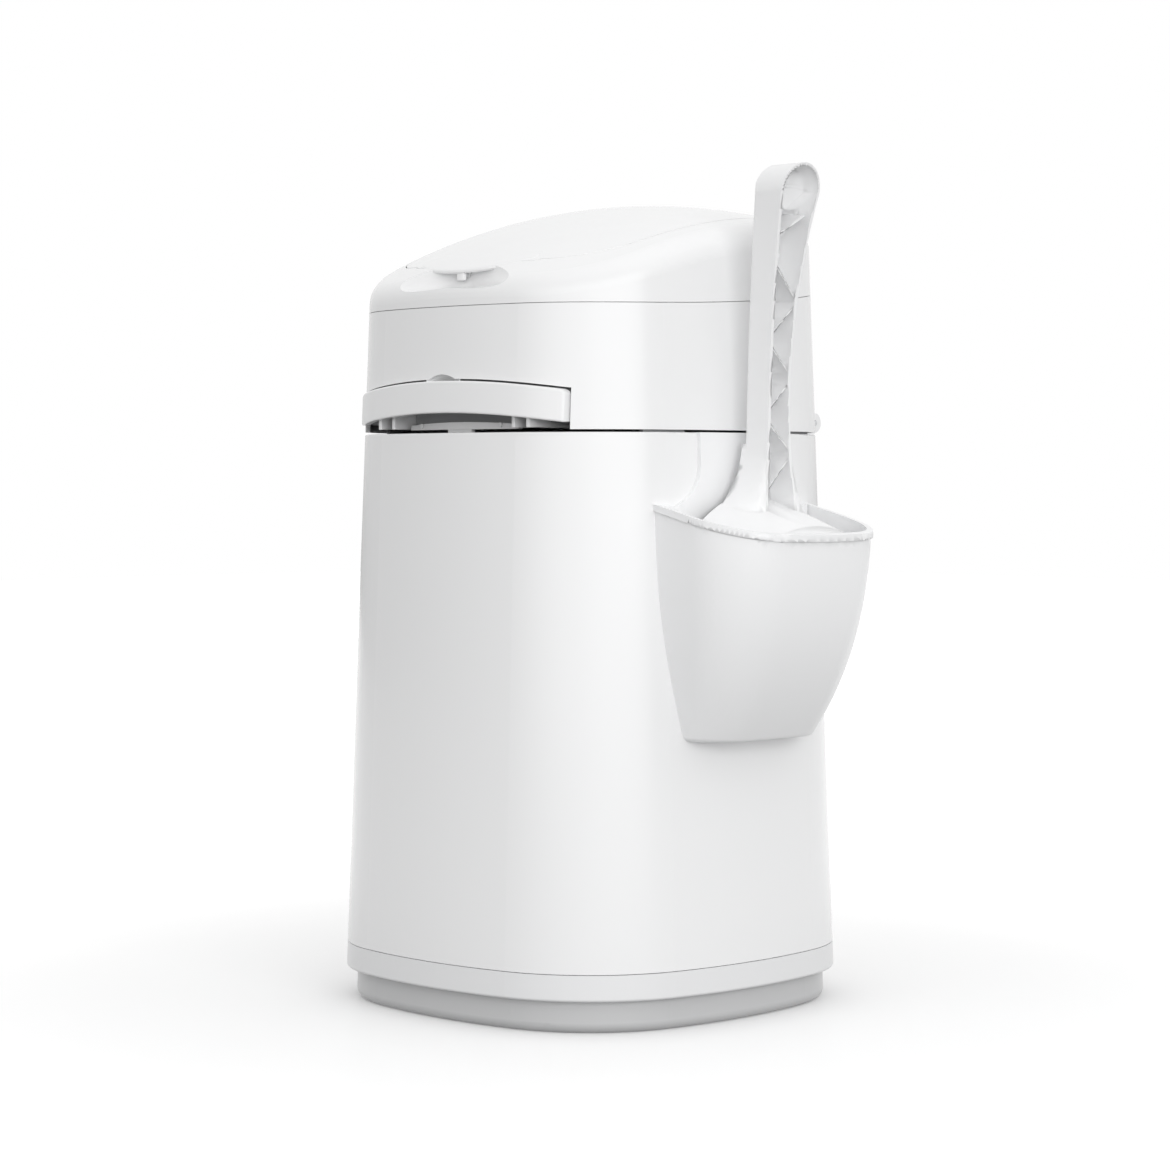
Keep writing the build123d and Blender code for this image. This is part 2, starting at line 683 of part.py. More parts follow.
def make_gate_frame():
    """Chassis: floor with the waste opening, guides, front wall, rim and skirt."""
    floor_low = GATE_FLOOR - GATE_FLOOR_THICKNESS
    rim = column(WALL + FIT / 2, floor_low, FRAME_TOP)
    rim -= column(WALL + FIT / 2 + FRAME_RIM, floor_low - 1, FRAME_TOP + 1)
    skirt_low = LOWER_TOP - SKIRT_DEPTH
    skirt = column(WALL + SKIRT_CLEAR, skirt_low, floor_low)
    skirt -= column(WALL + SKIRT_CLEAR + FRAME_RIM, skirt_low - 1, floor_low + 1)
    arm = arm_span()
    hook_side = block((0, HALF), (-PLATE_HALF - 4, PLATE_HALF + 4), (0, floor_low))
    front = block((-HALF, HALF), (-HALF, SKIRT_FRONT), (0, floor_low))
    skirt -= hook_side + front
    floor = column(WALL + FIT / 2 + FRAME_RIM / 2, floor_low, GATE_FLOOR)
    passage = RectangleRounded(2 * PASSAGE_HALF, PASSAGE_REAR - PASSAGE_FRONT, 7)
    middle = (PASSAGE_REAR + PASSAGE_FRONT) / 2
    floor -= Pos(0, middle, 0) * extrude(Pos(0, 0, floor_low - 1) * passage, amount=10)
    wall = block(
        (-HALF, HALF), (FRAME_FRONT - FRAME_RIM, FRAME_FRONT), (floor_low, FRAME_TOP)
    ) & column(WALL + FIT / 2 + FRAME_RIM / 2, floor_low, FRAME_TOP)
    body = rim + floor + wall
    body -= block((-HANDLE_HALF - 4, HANDLE_HALF + 4), (-HALF, FRAME_FRONT - FRAME_RIM), (0, REACH))
    slot = block(
        (arm[0] - 1, arm[1] + 1), (-HALF, GATE_FRONT - 2), (floor_low - 1, ARM_HIGH + 1)
    )
    body -= mirrored_x(slot)
    body += skirt
    body += mirrored_x(gate_guide())
    pin_tab = block(
        (LATCH_PIN_AT - 4, LATCH_PIN_AT + 4),
        (FRAME_FRONT - FRAME_RIM, FRAME_FRONT),
        (ARM_LOW - 0.4, GATE_FLOOR),
    )
    body += mirrored_x(pin_tab)
    body += block((-4, 4), (FRAME_FRONT - FRAME_RIM, FRAME_FRONT), (ARM_LOW - 0.4, GATE_FLOOR))
    for pin in latch_pins(LATCH_PIN_RADIUS + 0.2, LATCH_TRAVEL + 0.5):
        body -= pin
    for pad in corner_group(frame_pad, BOSS_X, BOSS_Y):
        body += pad
    body -= mirrored_x(lug_relief())
    for item in frame_screw_set():
        body -= item
    jaw = fixed_jaw_block()
    body += block((-PASSAGE_HALF, PASSAGE_HALF), (jaw[1], jaw[1] + 2.5), (GATE_FLOOR - 0.5, jaw[2]))
    return body


def lug_relief():
    """Room in the chassis for a lug of the rear hinge."""
    lug = lug_span()
    near = HINGE_Y - HINGE_RADIUS - 2
    return block((lug[0] - 2, lug[1] + 2), (near, HALF), (0, HINGE_Z + HINGE_RADIUS + 2))


def frame_pad(x, y):
    """Screw pad that ties the chassis rim to the shell's boss."""
    pad = rod_z(BOSS_RADIUS + 1, x, y, (FRAME_TOP - 3, FRAME_TOP))
    outward = 1 if x > 0 else -1
    tie = block(
        sorted((x, x + outward * 2 * BOSS_RADIUS)), (y - BOSS_RADIUS, y + BOSS_RADIUS),
        (FRAME_TOP - 3, FRAME_TOP),
    )
    return (pad + tie) & column(WALL + FIT / 2, FRAME_TOP - 5, FRAME_TOP + 1)


def gate_guide():
    """Guide rail at the +X side: wall with a lip over the slide's edge."""
    inner = GATE_HALF + GATE_PLAY
    top = GATE_FLOOR + 2 * GATE_PLAY + GATE_PLATE
    rail = block((inner, inner + GUIDE), (GATE_FRONT - 38, 30), (GATE_FLOOR - 0.5, top + GUIDE))
    lip = block((inner - 3, inner + GUIDE), (GATE_FRONT - 38, 30), (top, top + GUIDE))
    seat_front = FRAME_FRONT - FRAME_RIM
    stud = rod_y(SPRING_RADIUS - 2 * SPRING_WIRE - 0.3, SPRING_AT, (seat_front, FRAME_FRONT + 5), spring_z())
    return rail + lip + stud


def spring_z():
    return GATE_FLOOR + GATE_PLAY + GATE_PLATE + SPRING_RADIUS + 0.4


def fixed_jaw_block():
    """Front, rear and top of the fixed jaw."""
    front = GATE_REAR + JAW_DEPTH + GATE_PLAY
    return (front, front + JAW_DEPTH, GATE_FLOOR + GATE_PLAY + JAW_HEIGHT)


def jaw_profile(front, depth, low, high, facing):
    """Jaw section in Y and Z with a rounded nose on the side that faces the other jaw."""
    face = polygon((front, low), (front + depth, low), (front + depth, high), (front, high))
    nose = face.vertices().group_by(Axis.X)[facing]
    return fillet(nose, 1.2)


def make_fixed_jaw():
    """Soft strip behind the waste opening that the gate closes on."""
    front, rear, top = fixed_jaw_block()
    section = jaw_profile(front, rear - front, GATE_FLOOR, top, 0)
    return along_x(section, (-PASSAGE_HALF + 1, PASSAGE_HALF - 1))


def make_moving_jaw():
    """Soft strip on the rear edge of the slide."""
    low = GATE_FLOOR + GATE_PLAY
    section = jaw_profile(GATE_REAR, JAW_DEPTH, low, low + JAW_HEIGHT, -1)
    return along_x(section, (-PASSAGE_HALF + 1, PASSAGE_HALF - 1))


def make_frame_screws():
    """Four screws that hold the chassis up against the upper shell."""
    return frame_screw_set()


def make_gate_slide():
    """Plate that closes the waste opening, with stiffening ribs and two spring lugs."""
    low = GATE_FLOOR + GATE_PLAY
    top = low + GATE_PLATE
    plate = block((-GATE_HALF, GATE_HALF), (GATE_FRONT, GATE_REAR), (low, top))
    upright = [edge for edge in plate.edges().filter_by(Axis.Z) if edge.center().Y < 0]
    plate = rounded(plate, upright, 4)
    rib_top = THROAT_LOW - 1.2
    for at in (-PASSAGE_HALF - 1.2, PASSAGE_HALF + 1.2):
        plate += block((at - 1, at + 1), (GATE_FRONT + 18, GATE_REAR), (low, rib_top))
    lug = block(
        (SPRING_AT - SPRING_RADIUS, SPRING_AT + SPRING_RADIUS),
        (SPRING_LUG, SPRING_LUG + 3),
        (low, spring_z() + SPRING_RADIUS - 0.5),
    )
    stud_radius = SPRING_RADIUS - 2 * SPRING_WIRE - 0.3
    lug += rod_y(stud_radius, SPRING_AT, (SPRING_LUG - 5, SPRING_LUG), spring_z())
    plate += mirrored_x(lug)
    for item in handle_screw_set():
        plate -= item
    return plate


def tab_top():
    return GATE_FLOOR + GATE_PLAY + GATE_PLATE + 2.4


def handle_screw_set():
    middle = ARM_INNER + ARM_WIDTH / 2
    screws = []
    for x in (-middle, middle):
        head = rod_z(SCREW_HEAD - 0.4, x, GATE_FRONT + 8, (tab_top(), tab_top() + 1.6))
        shank = rod_z(SCREW_RADIUS, x, GATE_FRONT + 8, (GATE_FLOOR + GATE_PLAY + 0.4, tab_top() + 0.1))
        screws.append(head + shank)
    return screws


def make_handle_screws():
    """Two screws that join the handle's tabs and the slide."""
    return handle_screw_set()


def make_pull_handle():
    """Arched band that stands proud of the shell, with two H-section arms to the slide."""
    low, high = HANDLE_BOTTOM - 15, HANDLE_TOP + 5
    band = column(-HANDLE_PROUD, low, high)
    band -= column(HANDLE_THICKNESS - HANDLE_PROUD, low - 1, high + 1)
    face = arched_face(HANDLE_HALF, HANDLE_BOTTOM, HANDLE_TOP, HANDLE_ARCH, HANDLE_CORNER)
    band &= along_y(face, (-HALF - 10, -HALF / 2))
    front = [edge for edge in band.edges() if is_front_edge(edge)]
    band = rounded(band, front, HANDLE_EDGE)
    arm = arm_span()
    start = -wall_at(HANDLE_BOTTOM) + 1
    side = polygon(
        (start, ARM_LOW), (start, ARM_HIGH), (GATE_FRONT - 4, ARM_HIGH - 4), (GATE_FRONT - 4, ARM_LOW)
    )
    ribs = along_x(side, (arm[0], arm[0] + ARM_RIB)) + along_x(side, (arm[1] - ARM_RIB, arm[1]))
    level = GATE_FLOOR + GATE_PLAY + GATE_PLATE
    web = block(arm, (start, GATE_FRONT + 14), (level, tab_top()))
    arms = mirrored_x(ribs + web)
    arms -= column(-HANDLE_PROUD, 0, REACH) - column(HANDLE_THICKNESS - HANDLE_PROUD - 0.5, 0, REACH)
    handle = band + arms
    for item in handle_screw_set():
        handle -= item
    return handle


def is_front_edge(edge):
    """Whether an edge runs round the outer face of the handle's band."""
    middle = edge.position_at(0.5)
    across = abs(middle.X)
    outer = column_front(across, -HANDLE_PROUD, middle.Z)
    return abs(middle.Y - outer) < 0.25


def column_front(x, inset, height):
    """Y of the front wall at a distance x from the middle, drawn in by inset."""
    drawn = inset + DRAFT * height
    side = SIDE_RADIUS - drawn
    if x <= side * sin(radians(TANGENT)):
        return SIDE_SHIFT - sqrt(side**2 - x**2)
    return -CORNER_AT - sqrt((CORNER_RADIUS - drawn) ** 2 - (x - CORNER_AT) ** 2)


def coil_spring(x, y, z, radius, wire, coils):
    """Coil spring along Y between two values of Y."""
    length = y[1] - y[0] - 2 * wire
    path = Helix(pitch=length / coils, height=length, radius=radius - wire)
    start = path.position_at(0)
    section = Plane(start, z_dir=path.tangent_at(0)) * Circle(wire)
    coil = sweep(section, path=path, is_frenet=True)
    return Pos(x, y[1] - wire, z) * Rot(90, 0, 0) * coil


def make_return_spring(side):
    """Return spring between the chassis front wall and the slide's lug."""
    return coil_spring(
        side * SPRING_AT, (FRAME_FRONT, SPRING_LUG), spring_z(), SPRING_RADIUS, SPRING_WIRE, SPRING_COILS
    )


# --- Latch ----------------------------------------------------------------------------
def latch_front():
    return -(wall_at(ARM_LOW) - LATCH_INSET)


def latch_pins(radius, spare=0.0):
    """Guide pins of the push bar, or with spare the longer holes that they run in."""
    rear = FRAME_FRONT + 4 + spare
    return [
        rod_y(radius, x, (latch_front() + 1, rear), ARM_LOW + 1.7) for x in (-LATCH_PIN_AT, LATCH_PIN_AT)
    ]


def make_latch_button():
    """Push bar under the handle, with guide pins and the hook that meets the striker."""
    face = arched_face(LATCH_HALF, ARM_LOW - 20, LATCH_TOP, LATCH_ARCH, 1.2)
    bar = column(LATCH_INSET, ARM_LOW - 0.4, LATCH_TOP + 2)
    bar -= column(LATCH_INSET + LATCH_THICKNESS, ARM_LOW - 2, LATCH_TOP + 4)
    bar &= along_y(face, (-HALF, -HALF / 2))
    for pin in latch_pins(LATCH_PIN_RADIUS):
        bar += pin
    front = latch_front()
    striker_face = -(wall_at(STRIKER_HEIGHT) - WALL - STRIKER_REACH)
    barb_front = striker_face + STRIKER_CLEAR
    hook = polygon(
        (front + 0.6, LATCH_TOP - 1.5),
        (front + 0.6, STRIKER_HEIGHT - 0.8),
        (barb_front, STRIKER_HEIGHT - 0.8),
        (front + 0.6, HOOK_LOW),
        (front + LATCH_THICKNESS, HOOK_LOW),
        (front + LATCH_THICKNESS, LATCH_TOP - 1.5),
    )
    return bar + along_x(hook, (-HOOK_HALF, HOOK_HALF))


def make_latch_spring():
    """Small coil spring between the bar and the chassis."""
    front = latch_front() + LATCH_THICKNESS
    return coil_spring(0, (front, FRAME_FRONT - FRAME_RIM), ARM_LOW + 1.9, 1.7, 0.3, 4)


# --- Cassette and funnel --------------------------------------------------------------
def ring_solid(outer, inner, corner, low, high):
    """Rounded-square ring between two half widths."""
    plan = RectangleRounded(2 * outer, 2 * outer, corner)
    plan -= RectangleRounded(2 * inner, 2 * inner, corner - (outer - inner) * 0.6)
    return extrude(Pos(0, 0, low) * plan, amount=high - low)


def make_funnel():
    """Deck that carries the cassette, with its collar and the throat down to the gate."""
    deck_low = DECK_HEIGHT - DECK_THICKNESS
    deck = column(WALL + FIT / 2, deck_low, DECK_HEIGHT)
    collar = CASSETTE_HALF + FIT
    deck += ring_solid(collar + 2, collar, CASSETTE_CORNER + 2, DECK_HEIGHT - 1, DECK_HEIGHT + COLLAR_HEIGHT)
    outer = throat(THROAT_SKIN, deck_low)
    inner = throat(0, DECK_HEIGHT + 1)
    mouth = RectangleRounded(2 * THROAT_TOP, 2 * THROAT_TOP, 14)
    mouth = extrude(Pos(0, 0, deck_low - 1) * mouth, amount=DECK_THICKNESS + 2)
    return (deck - mouth) + (outer - inner)


def throat(grow, top):
    """Tapered throat from the deck to the gate, grown outwards by grow."""
    low_half_y = (PASSAGE_REAR - PASSAGE_FRONT) / 2 - 1
    middle = (PASSAGE_REAR + PASSAGE_FRONT) / 2
    low_face = RectangleRounded(2 * (PASSAGE_HALF - 2 + grow), 2 * (low_half_y + grow), 7 + grow)
    top_face = RectangleRounded(2 * (THROAT_TOP + grow), 2 * (THROAT_TOP + grow), 14 + grow)
    deck_low = DECK_HEIGHT - DECK_THICKNESS
    body = loft([Pos(0, middle, THROAT_LOW) * low_face, Pos(0, 0, deck_low) * top_face], ruled=True)
    if top > deck_low:
        body += extrude(Pos(0, 0, deck_low) * top_face, amount=top - deck_low)
    return body


def cassette_inner():
    return CASSETTE_HALF - CASSETTE_CHANNEL


def make_cassette_body():
    """Tray of the film refill: a rounded-square channel, open at the top."""
    low = DECK_HEIGHT
    high = low + CASSETTE_HEIGHT - CASSETTE_SKIN
    tray = ring_solid(CASSETTE_HALF, cassette_inner(), CASSETTE_CORNER, low, high)
    return tray - film_channel(0, high + 1)


def film_channel(play, high):
    low = DECK_HEIGHT + CASSETTE_SKIN + play
    outer = CASSETTE_HALF - CASSETTE_SKIN - play
    inner = cassette_inner() + CASSETTE_SKIN + play
    return ring_solid(outer, inner, CASSETTE_CORNER - CASSETTE_SKIN - play, low, high)


def make_film_pack():
    """Pleated film packed in the tray, as one block."""
    return film_channel(0.3, DECK_HEIGHT + CASSETTE_HEIGHT - 2 * CASSETTE_SKIN)


def make_cassette_cover():
    """Ring that closes the tray and leaves a slot for the film at its inner edge."""
    high = DECK_HEIGHT + CASSETTE_HEIGHT
    low = high - CASSETTE_SKIN
    inner = cassette_inner() + CASSETTE_SKIN + FILM_SLOT
    return ring_solid(CASSETTE_HALF, inner, CASSETTE_CORNER, low, high)


# --- Cap and lid ----------------------------------------------------------------------
def dome(drop):
    """Solid under the dome's surface, lowered square to it by drop."""
    radius = CROWN_ALONG - drop
    centre = CROWN_HEIGHT - CROWN_ALONG
    front, back = -HALF - 30, HALF + 30

    def crest(y):
        return (y, centre + sqrt(radius**2 - (y - CROWN_SETBACK) ** 2))

    low = DOME_AXIS + CROWN_ACROSS / 2
    edges = [
        ThreePointArc(crest(front), crest(CROWN_SETBACK), crest(back)),
        Line(crest(back), (back, low)),
        Line((back, low), (front, low)),
        Line((front, low), crest(front)),
    ]
    return revolve(Plane.YZ * make_face(edges), axis=Axis((0, 0, DOME_AXIS), (0, 1, 0)))


def domed_column(inset, low):
    """Drafted column closed by the dome, with its shoulder rounded."""
    body = column(inset, low, CROWN_HEIGHT + 15) & dome(inset)
    shoulder = [edge for edge in body.edges() if edge.center().Z > SEAM_HEIGHT and not is_upright(edge)]
    return rounded(body, shoulder, SHOULDER - inset)


def is_upright(edge):
    box = edge.bounding_box()
    return box.max.Z - box.min.Z > 8 and abs(edge.tangent_at(0.5).Z) > 0.9


def lid_plan(grow):
    """Plan of the lid: the column's outline with the lip in front, grown by grow."""
    face = outline(LID_INSET - grow, CROWN_HEIGHT)
    face = Pos(0, 0, -CROWN_HEIGHT) * face
    behind = Pos(0, LID_HINGE_SETBACK + grow + HALF, 0) * Rectangle(4 * HALF, 2 * HALF)
    face -= behind
    sag = LIP_REACH - LIP_ROOT
    radius = (LIP_HALF**2 + sag**2) / (2 * sag)
    lip = Pos(0, radius - LIP_REACH, 0) * Circle(radius + grow)
    strip = Pos(0, -LIP_REACH + 5 - grow, 0) * Rectangle(2 * (LIP_HALF + grow), 2 * 10)
    return face + (lip & strip)


def lid_prism(grow):
    """Upright solid over the lid's plan."""
    return extrude(Pos(0, 0, SEAM_HEIGHT) * lid_plan(grow), amount=CROWN_HEIGHT - SEAM_HEIGHT + 20)


def inner_prism(inset, rear, setback=0.0):
    """Upright solid over the column's outline at the lid, drawn in by inset, up to rear."""
    face = Pos(0, setback, -CROWN_HEIGHT) * outline(inset, CROWN_HEIGHT)
    face -= Pos(0, rear + HALF, 0) * Rectangle(4 * HALF, 2 * HALF)
    return extrude(Pos(0, 0, SEAM_HEIGHT) * face, amount=CROWN_HEIGHT - SEAM_HEIGHT + 20)


def recess_tube(grow):
    """Scooped thumb recess: a tube that bends away from the front wall."""
    radius = RECESS_TUBE + grow
    ring = Torus(RECESS_SWEEP, radius)
    return Pos(0, -RECESS_SETBACK - RECESS_SWEEP, RECESS_HEIGHT) * ring


def ear_spans():
    half = LID_EAR_WIDTH / 2
    return [(side * LID_EAR_AT - half, side * LID_EAR_AT + half) for side in (-1, 1)]


def make_top_cap():
    """Domed cap with the flush lid's opening and ledge, thumb recess, hinge trough and spigot."""
    low = SEAM_HEIGHT - 2
    outer = domed_column(0, low)
    shell = outer - domed_column(WALL, low - 1)
    recess_skin = recess_tube(LID_SKIN) & outer
    recess_skin -= column(WALL, low, SEAM_HEIGHT + 1)
    shell += recess_skin
    ledge_drop = LID_SKIN + 0.3
    ledge = dome(WALL / 2) - dome(ledge_drop + LEDGE_DEPTH)
    ledge &= inner_prism(LID_INSET - LEDGE_WIDTH / 2, LID_HINGE_SETBACK - LID_ROLL - 4) & outer
    for setback in (0, LID_SWING):
        ledge -= inner_prism(LID_INSET + LEDGE_WIDTH, LID_HINGE_SETBACK, setback)
    shell += ledge
    shell += hinge_trough(TROUGH_SKIN, LID_ROLL) & outer
    shell -= lid_prism(LID_GAP) - dome(ledge_drop)
    shell -= hinge_trough(0, LID_ROLL + LID_GAP)
    for span in ear_spans():
        shell += hinge_ear(span)
    shell -= recess_tube(0)
    spigot = column(WALL - 0.6, SEAM_HEIGHT - 20, CROWN_HEIGHT)
    spigot -= column(WALL + FIT / 2 + SPIGOT_THICKNESS, SEAM_HEIGHT - 21, CROWN_HEIGHT + 1)
    root = spigot & (under_seam(SPIGOT_DEPTH) - under_seam(HAIRLINE / 2))
    drop = column(WALL + FIT / 2, SEAM_HEIGHT - 20, CROWN_HEIGHT) & spigot
    drop &= under_seam(SPIGOT_DEPTH) - under_seam(-SPIGOT_DEPTH)
    shell = (shell - under_seam(HAIRLINE / 2)) + root + drop
    return shell - rod_x(LID_PIN_RADIUS + 0.02, (-LID_PIN_HALF, LID_PIN_HALF), *lid_axis())


def lid_axis():
    return (LID_HINGE_SETBACK, LID_HINGE_Z)


def hinge_trough(grow, front):
    """Room that the lid's rolled edge turns in, grown outwards, from front ahead of its axis."""
    y, z = lid_axis()
    radius = LID_ROLL + LID_GAP + grow
    span = (-LID_ROLL_HALF - LID_GAP - grow, LID_ROLL_HALF + LID_GAP + grow)
    behind = rod_x(radius, span, y, z) & block(span, (y, HALF), (0, REACH))
    below = rod_x(radius, span, y, z) & block(span, (y - front, y), (0, z))
    above = block(span, (y, y + radius + LID_GAP), (z, REACH))
    return behind + below + above


def hinge_ear(span):
    """Ear that carries the lid's pin, standing in the trough."""
    y, z = lid_axis()
    leg = block(span, (y - LID_EAR_RADIUS, y + LID_EAR_RADIUS), (z - LID_ROLL - 2, z))
    return rod_x(LID_EAR_RADIUS, span, y, z) + leg


def make_lid_hinge_pin():
    """Steel pin of the lid's hinge."""
    return rod_x(LID_PIN_RADIUS, (-LID_PIN_HALF, LID_PIN_HALF), *lid_axis())


def make_lid_shell():
    """Domed lid with the lip, catch tab, rolled hinge edge and inner rib."""
    skin = (dome(0) - dome(LID_SKIN)) & lid_prism(0)
    y, z = lid_axis()
    roll = rod_x(LID_ROLL, (-LID_ROLL_HALF, LID_ROLL_HALF), y, z) & dome(0)
    roll &= block((-HALF, HALF), (y - LID_ROLL * 0.6, HALF), (0, REACH))
    body = skin + roll
    reach = LID_ROLL + 2
    for low, high in ear_spans():
        span = (low - LID_GAP, high + LID_GAP)
        gap = rod_x(LID_EAR_RADIUS + LID_GAP, span, y, z)
        gap += block(span, (y - reach, y + reach), (z - reach, z))
        gap += block(span, (y, y + reach), (z, z + reach))
        body -= gap
    tab = block((-TAB_HALF, TAB_HALF), (-LIP_REACH, -LIP_REACH + 3), (SEAM_HEIGHT, RECESS_HEIGHT + 6))
    tab &= (dome(LID_SKIN / 2) - dome(LID_SKIN + TAB_DEPTH)) & recess_tube(-FIT)
    body += tab & lid_prism(0)
    rib = dome(LID_SKIN / 2) - dome(LID_SKIN + LID_RIB_DEPTH)
    rib_inset = LID_INSET + LEDGE_WIDTH + 1
    rear = LID_HINGE_SETBACK - LID_ROLL - 3
    rib &= inner_prism(rib_inset, rear, LID_SWING) - inner_prism(rib_inset + RIB, rear - RIB, LID_SWING)
    body += rib
    return body - rod_x(LID_PIN_RADIUS + PIN_PLAY, (-HALF, HALF), y, z)


def liner_form(outer, inner):
    """Ring or panel over the lid's inner rib, between two insets from it."""
    rear = LID_HINGE_SETBACK - LID_ROLL - 3
    edge = LID_INSET + LEDGE_WIDTH + 1
    form = inner_prism(edge + outer, rear - outer, LID_SWING)
    if inner is not None:
        form -= inner_prism(edge + inner, rear - inner, LID_SWING)
    return form


def make_lid_liner():
    """Inner panel of the lid, carried on the rib."""
    drop = LID_SKIN + LID_RIB_DEPTH
    plate = (dome(drop) - dome(drop + LINER_THICKNESS)) & liner_form(SEAL_WIDTH, None)
    rim = dome(drop + LINER_THICKNESS / 2) - dome(drop + 2 * LINER_THICKNESS)
    return plate + (rim & liner_form(SEAL_WIDTH, SEAL_WIDTH + RIB))


def make_lid_seal():
    """Soft ring round the liner."""
    drop = LID_SKIN + LID_RIB_DEPTH
    return (dome(drop) - dome(drop + 2 * LINER_THICKNESS)) & liner_form(0, SEAL_WIDTH)


# --- Scoop ----------------------------------------------------------------------------
def grip_face(inset, top_arch=None):
    """Handle seen from the front: round head, drawn-in waist and wider foot."""
    half = WAIST_HALF - inset
    head = bow(half, WAIST_BOW_UP, HEAD_HEIGHT - WAIST_HEIGHT)
    foot = bow(half, WAIST_BOW_DOWN, WAIST_HEIGHT - FOOT_HEIGHT)
    rise = (HEAD_HEIGHT - WAIST_HEIGHT) / 2
    fall = (WAIST_HEIGHT - FOOT_HEIGHT) / 2
    upper = (bow(half, WAIST_BOW_UP, rise), WAIST_HEIGHT + rise)
    lower = (bow(half, WAIST_BOW_DOWN, fall), WAIST_HEIGHT - fall)
    foot_low = FOOT_HEIGHT - 12

    def side(sign):
        def at(point):
            return (sign * point[0], point[1])

        return [
            ThreePointArc(at((head, HEAD_HEIGHT)), at(upper), at((half, WAIST_HEIGHT))),
            ThreePointArc(at((half, WAIST_HEIGHT)), at(lower), at((foot, FOOT_HEIGHT))),
            Line(at((foot, FOOT_HEIGHT)), at((foot, foot_low))),
        ]

    edges = side(1) + side(-1)
    edges.append(Line((foot, foot_low), (-foot, foot_low)))
    edges.append(ThreePointArc((-head, HEAD_HEIGHT), (0, HEAD_HEIGHT + head), (head, HEAD_HEIGHT)))
    return make_face(edges)


def grip_back(height):
    return bow(GRIP_BACK, GRIP_BACK_BOW, max(0.0, height - GRIP_BOW_HEIGHT))


def grip_front(height):
    return bow(GRIP_FRONT, GRIP_FRONT_BOW, height - GRIP_BOW_HEIGHT)


def grip_side(back_shift, front_shift, low, high):
    """Handle seen from the side: two arcs that lean outwards at the top."""
    middle = (GRIP_BOW_HEIGHT + high) / 2
    under = (GRIP_BOW_HEIGHT + low) / 2
    edges = [
        Line((grip_back(low) + back_shift, low), (GRIP_BACK + back_shift, GRIP_BOW_HEIGHT)),
        ThreePointArc(
            (GRIP_BACK + back_shift, GRIP_BOW_HEIGHT),
            (grip_back(middle) + back_shift, middle),
            (grip_back(high) + back_shift, high),
        ),
        Line((grip_back(high) + back_shift, high), (grip_front(high) + front_shift, high)),
        ThreePointArc(
            (grip_front(high) + front_shift, high),
            (grip_front(middle) + front_shift, middle),
            (GRIP_FRONT + front_shift, GRIP_BOW_HEIGHT),
        ),
        ThreePointArc(
            (GRIP_FRONT + front_shift, GRIP_BOW_HEIGHT),
            (grip_front(under) + front_shift, under),
            (grip_front(low) + front_shift, low),
        ),
        Line((grip_front(low) + front_shift, low), (grip_back(low) + back_shift, low)),
    ]
    return along_y(make_face(edges), (-HALF / 2, HALF / 2))


def grip_solid():
    """Handle before it is hollowed, with its rear edges rounded."""
    grip = along_x(grip_face(0), (HALF / 2, 2 * HALF))
    grip &= grip_side(0, 0, FOOT_HEIGHT - 12, HEAD_HEIGHT + HEAD_RADIUS + 10)
    rear = [edge for edge in grip.edges() if is_grip_rear(edge)]
    return rounded(grip, rear, GRIP_EDGE)


def grip_hollow():
    """Channel open to the front, with the shallow dish of the head above it."""
    low, high = FOOT_HEIGHT - 12, HEAD_HEIGHT + HEAD_RADIUS + 10
    inner = along_x(grip_face(FLANGE), (HALF / 2, 2 * HALF))
    deep = inner & grip_side(WEB, 20, low - 1, high) & under_arch(CHANNEL_TOP)
    depth = GRIP_FRONT - GRIP_BACK
    dish = inner & grip_side(depth - DISH_DEPTH, 20, low - 1, high)
    return (deep - zigzag()) + (dish - under_arch(CHANNEL_TOP - 1.5))


def under_arch(height):
    """Everything below a round arch that spans the handle."""
    arch = Pos(0, 0, height - CHANNEL_ARCH) * Rot(0, 90, 0) * Cylinder(CHANNEL_ARCH, 4 * HALF)
    return arch + block((0, 2 * HALF), (-CHANNEL_ARCH, CHANNEL_ARCH), (0, height - CHANNEL_ARCH))


def is_grip_rear(edge):
    middle = edge.position_at(0.5)
    if middle.Z < FOOT_HEIGHT - 10:
        return False
    return abs(middle.X - grip_back(middle.Z)) < 0.3 and abs(middle.Y) > 2


def zigzag():
    """Slanting ribs that cross the channel, in pairs, and one under the head."""
    reach = 2 * WAIST_HALF
    ribs = []
    for index in range(ZIGZAG_COUNT):
        apex = ZIGZAG_APEX - index * ZIGZAG_PITCH
        for sign in (1, -1):
            level = apex + sign * (ZIGZAG_SPLIT / 2 + reach / 2)
            ribs.append(slant_rib(0, level, -sign * 45, 3 * reach))
    ribs.append(slant_rib(0, CHANNEL_TOP - 7.5, 31, 3 * reach))
    body = ribs[0]
    for rib in ribs[1:]:
        body += rib
    return body & grip_side(0, -0.8, FOOT_HEIGHT - 12, HEAD_HEIGHT)


def slant_rib(y, z, angle, length):
    return Pos(GRIP_FRONT, y, z) * Rot(angle, 0, 0) * Box(60, length, GRIP_RIB)


def flare_face(spread, inset):
    """Foot seen from the front, flared by two arcs; spread scales the flare."""
    low = FLARE_TOP - 0.97 * FLARE_RADIUS
    middle = (FLARE_TOP + low) / 2

    def at(height):
        waist = bow(WAIST_HALF, WAIST_BOW_DOWN, WAIST_HEIGHT - height) - inset
        return waist + spread * bow(0, FLARE_RADIUS, FLARE_TOP - height)

    edges = [
        Line((-at(FLARE_TOP), FLARE_TOP), (at(FLARE_TOP), FLARE_TOP)),
        ThreePointArc((at(FLARE_TOP), FLARE_TOP), (at(middle), middle), (at(low), low)),
        Line((at(low), low), (-at(low), low)),
        ThreePointArc((-at(low), low), (-at(middle), middle), (-at(FLARE_TOP), FLARE_TOP)),
    ]
    return Plane.YZ * make_face(edges)


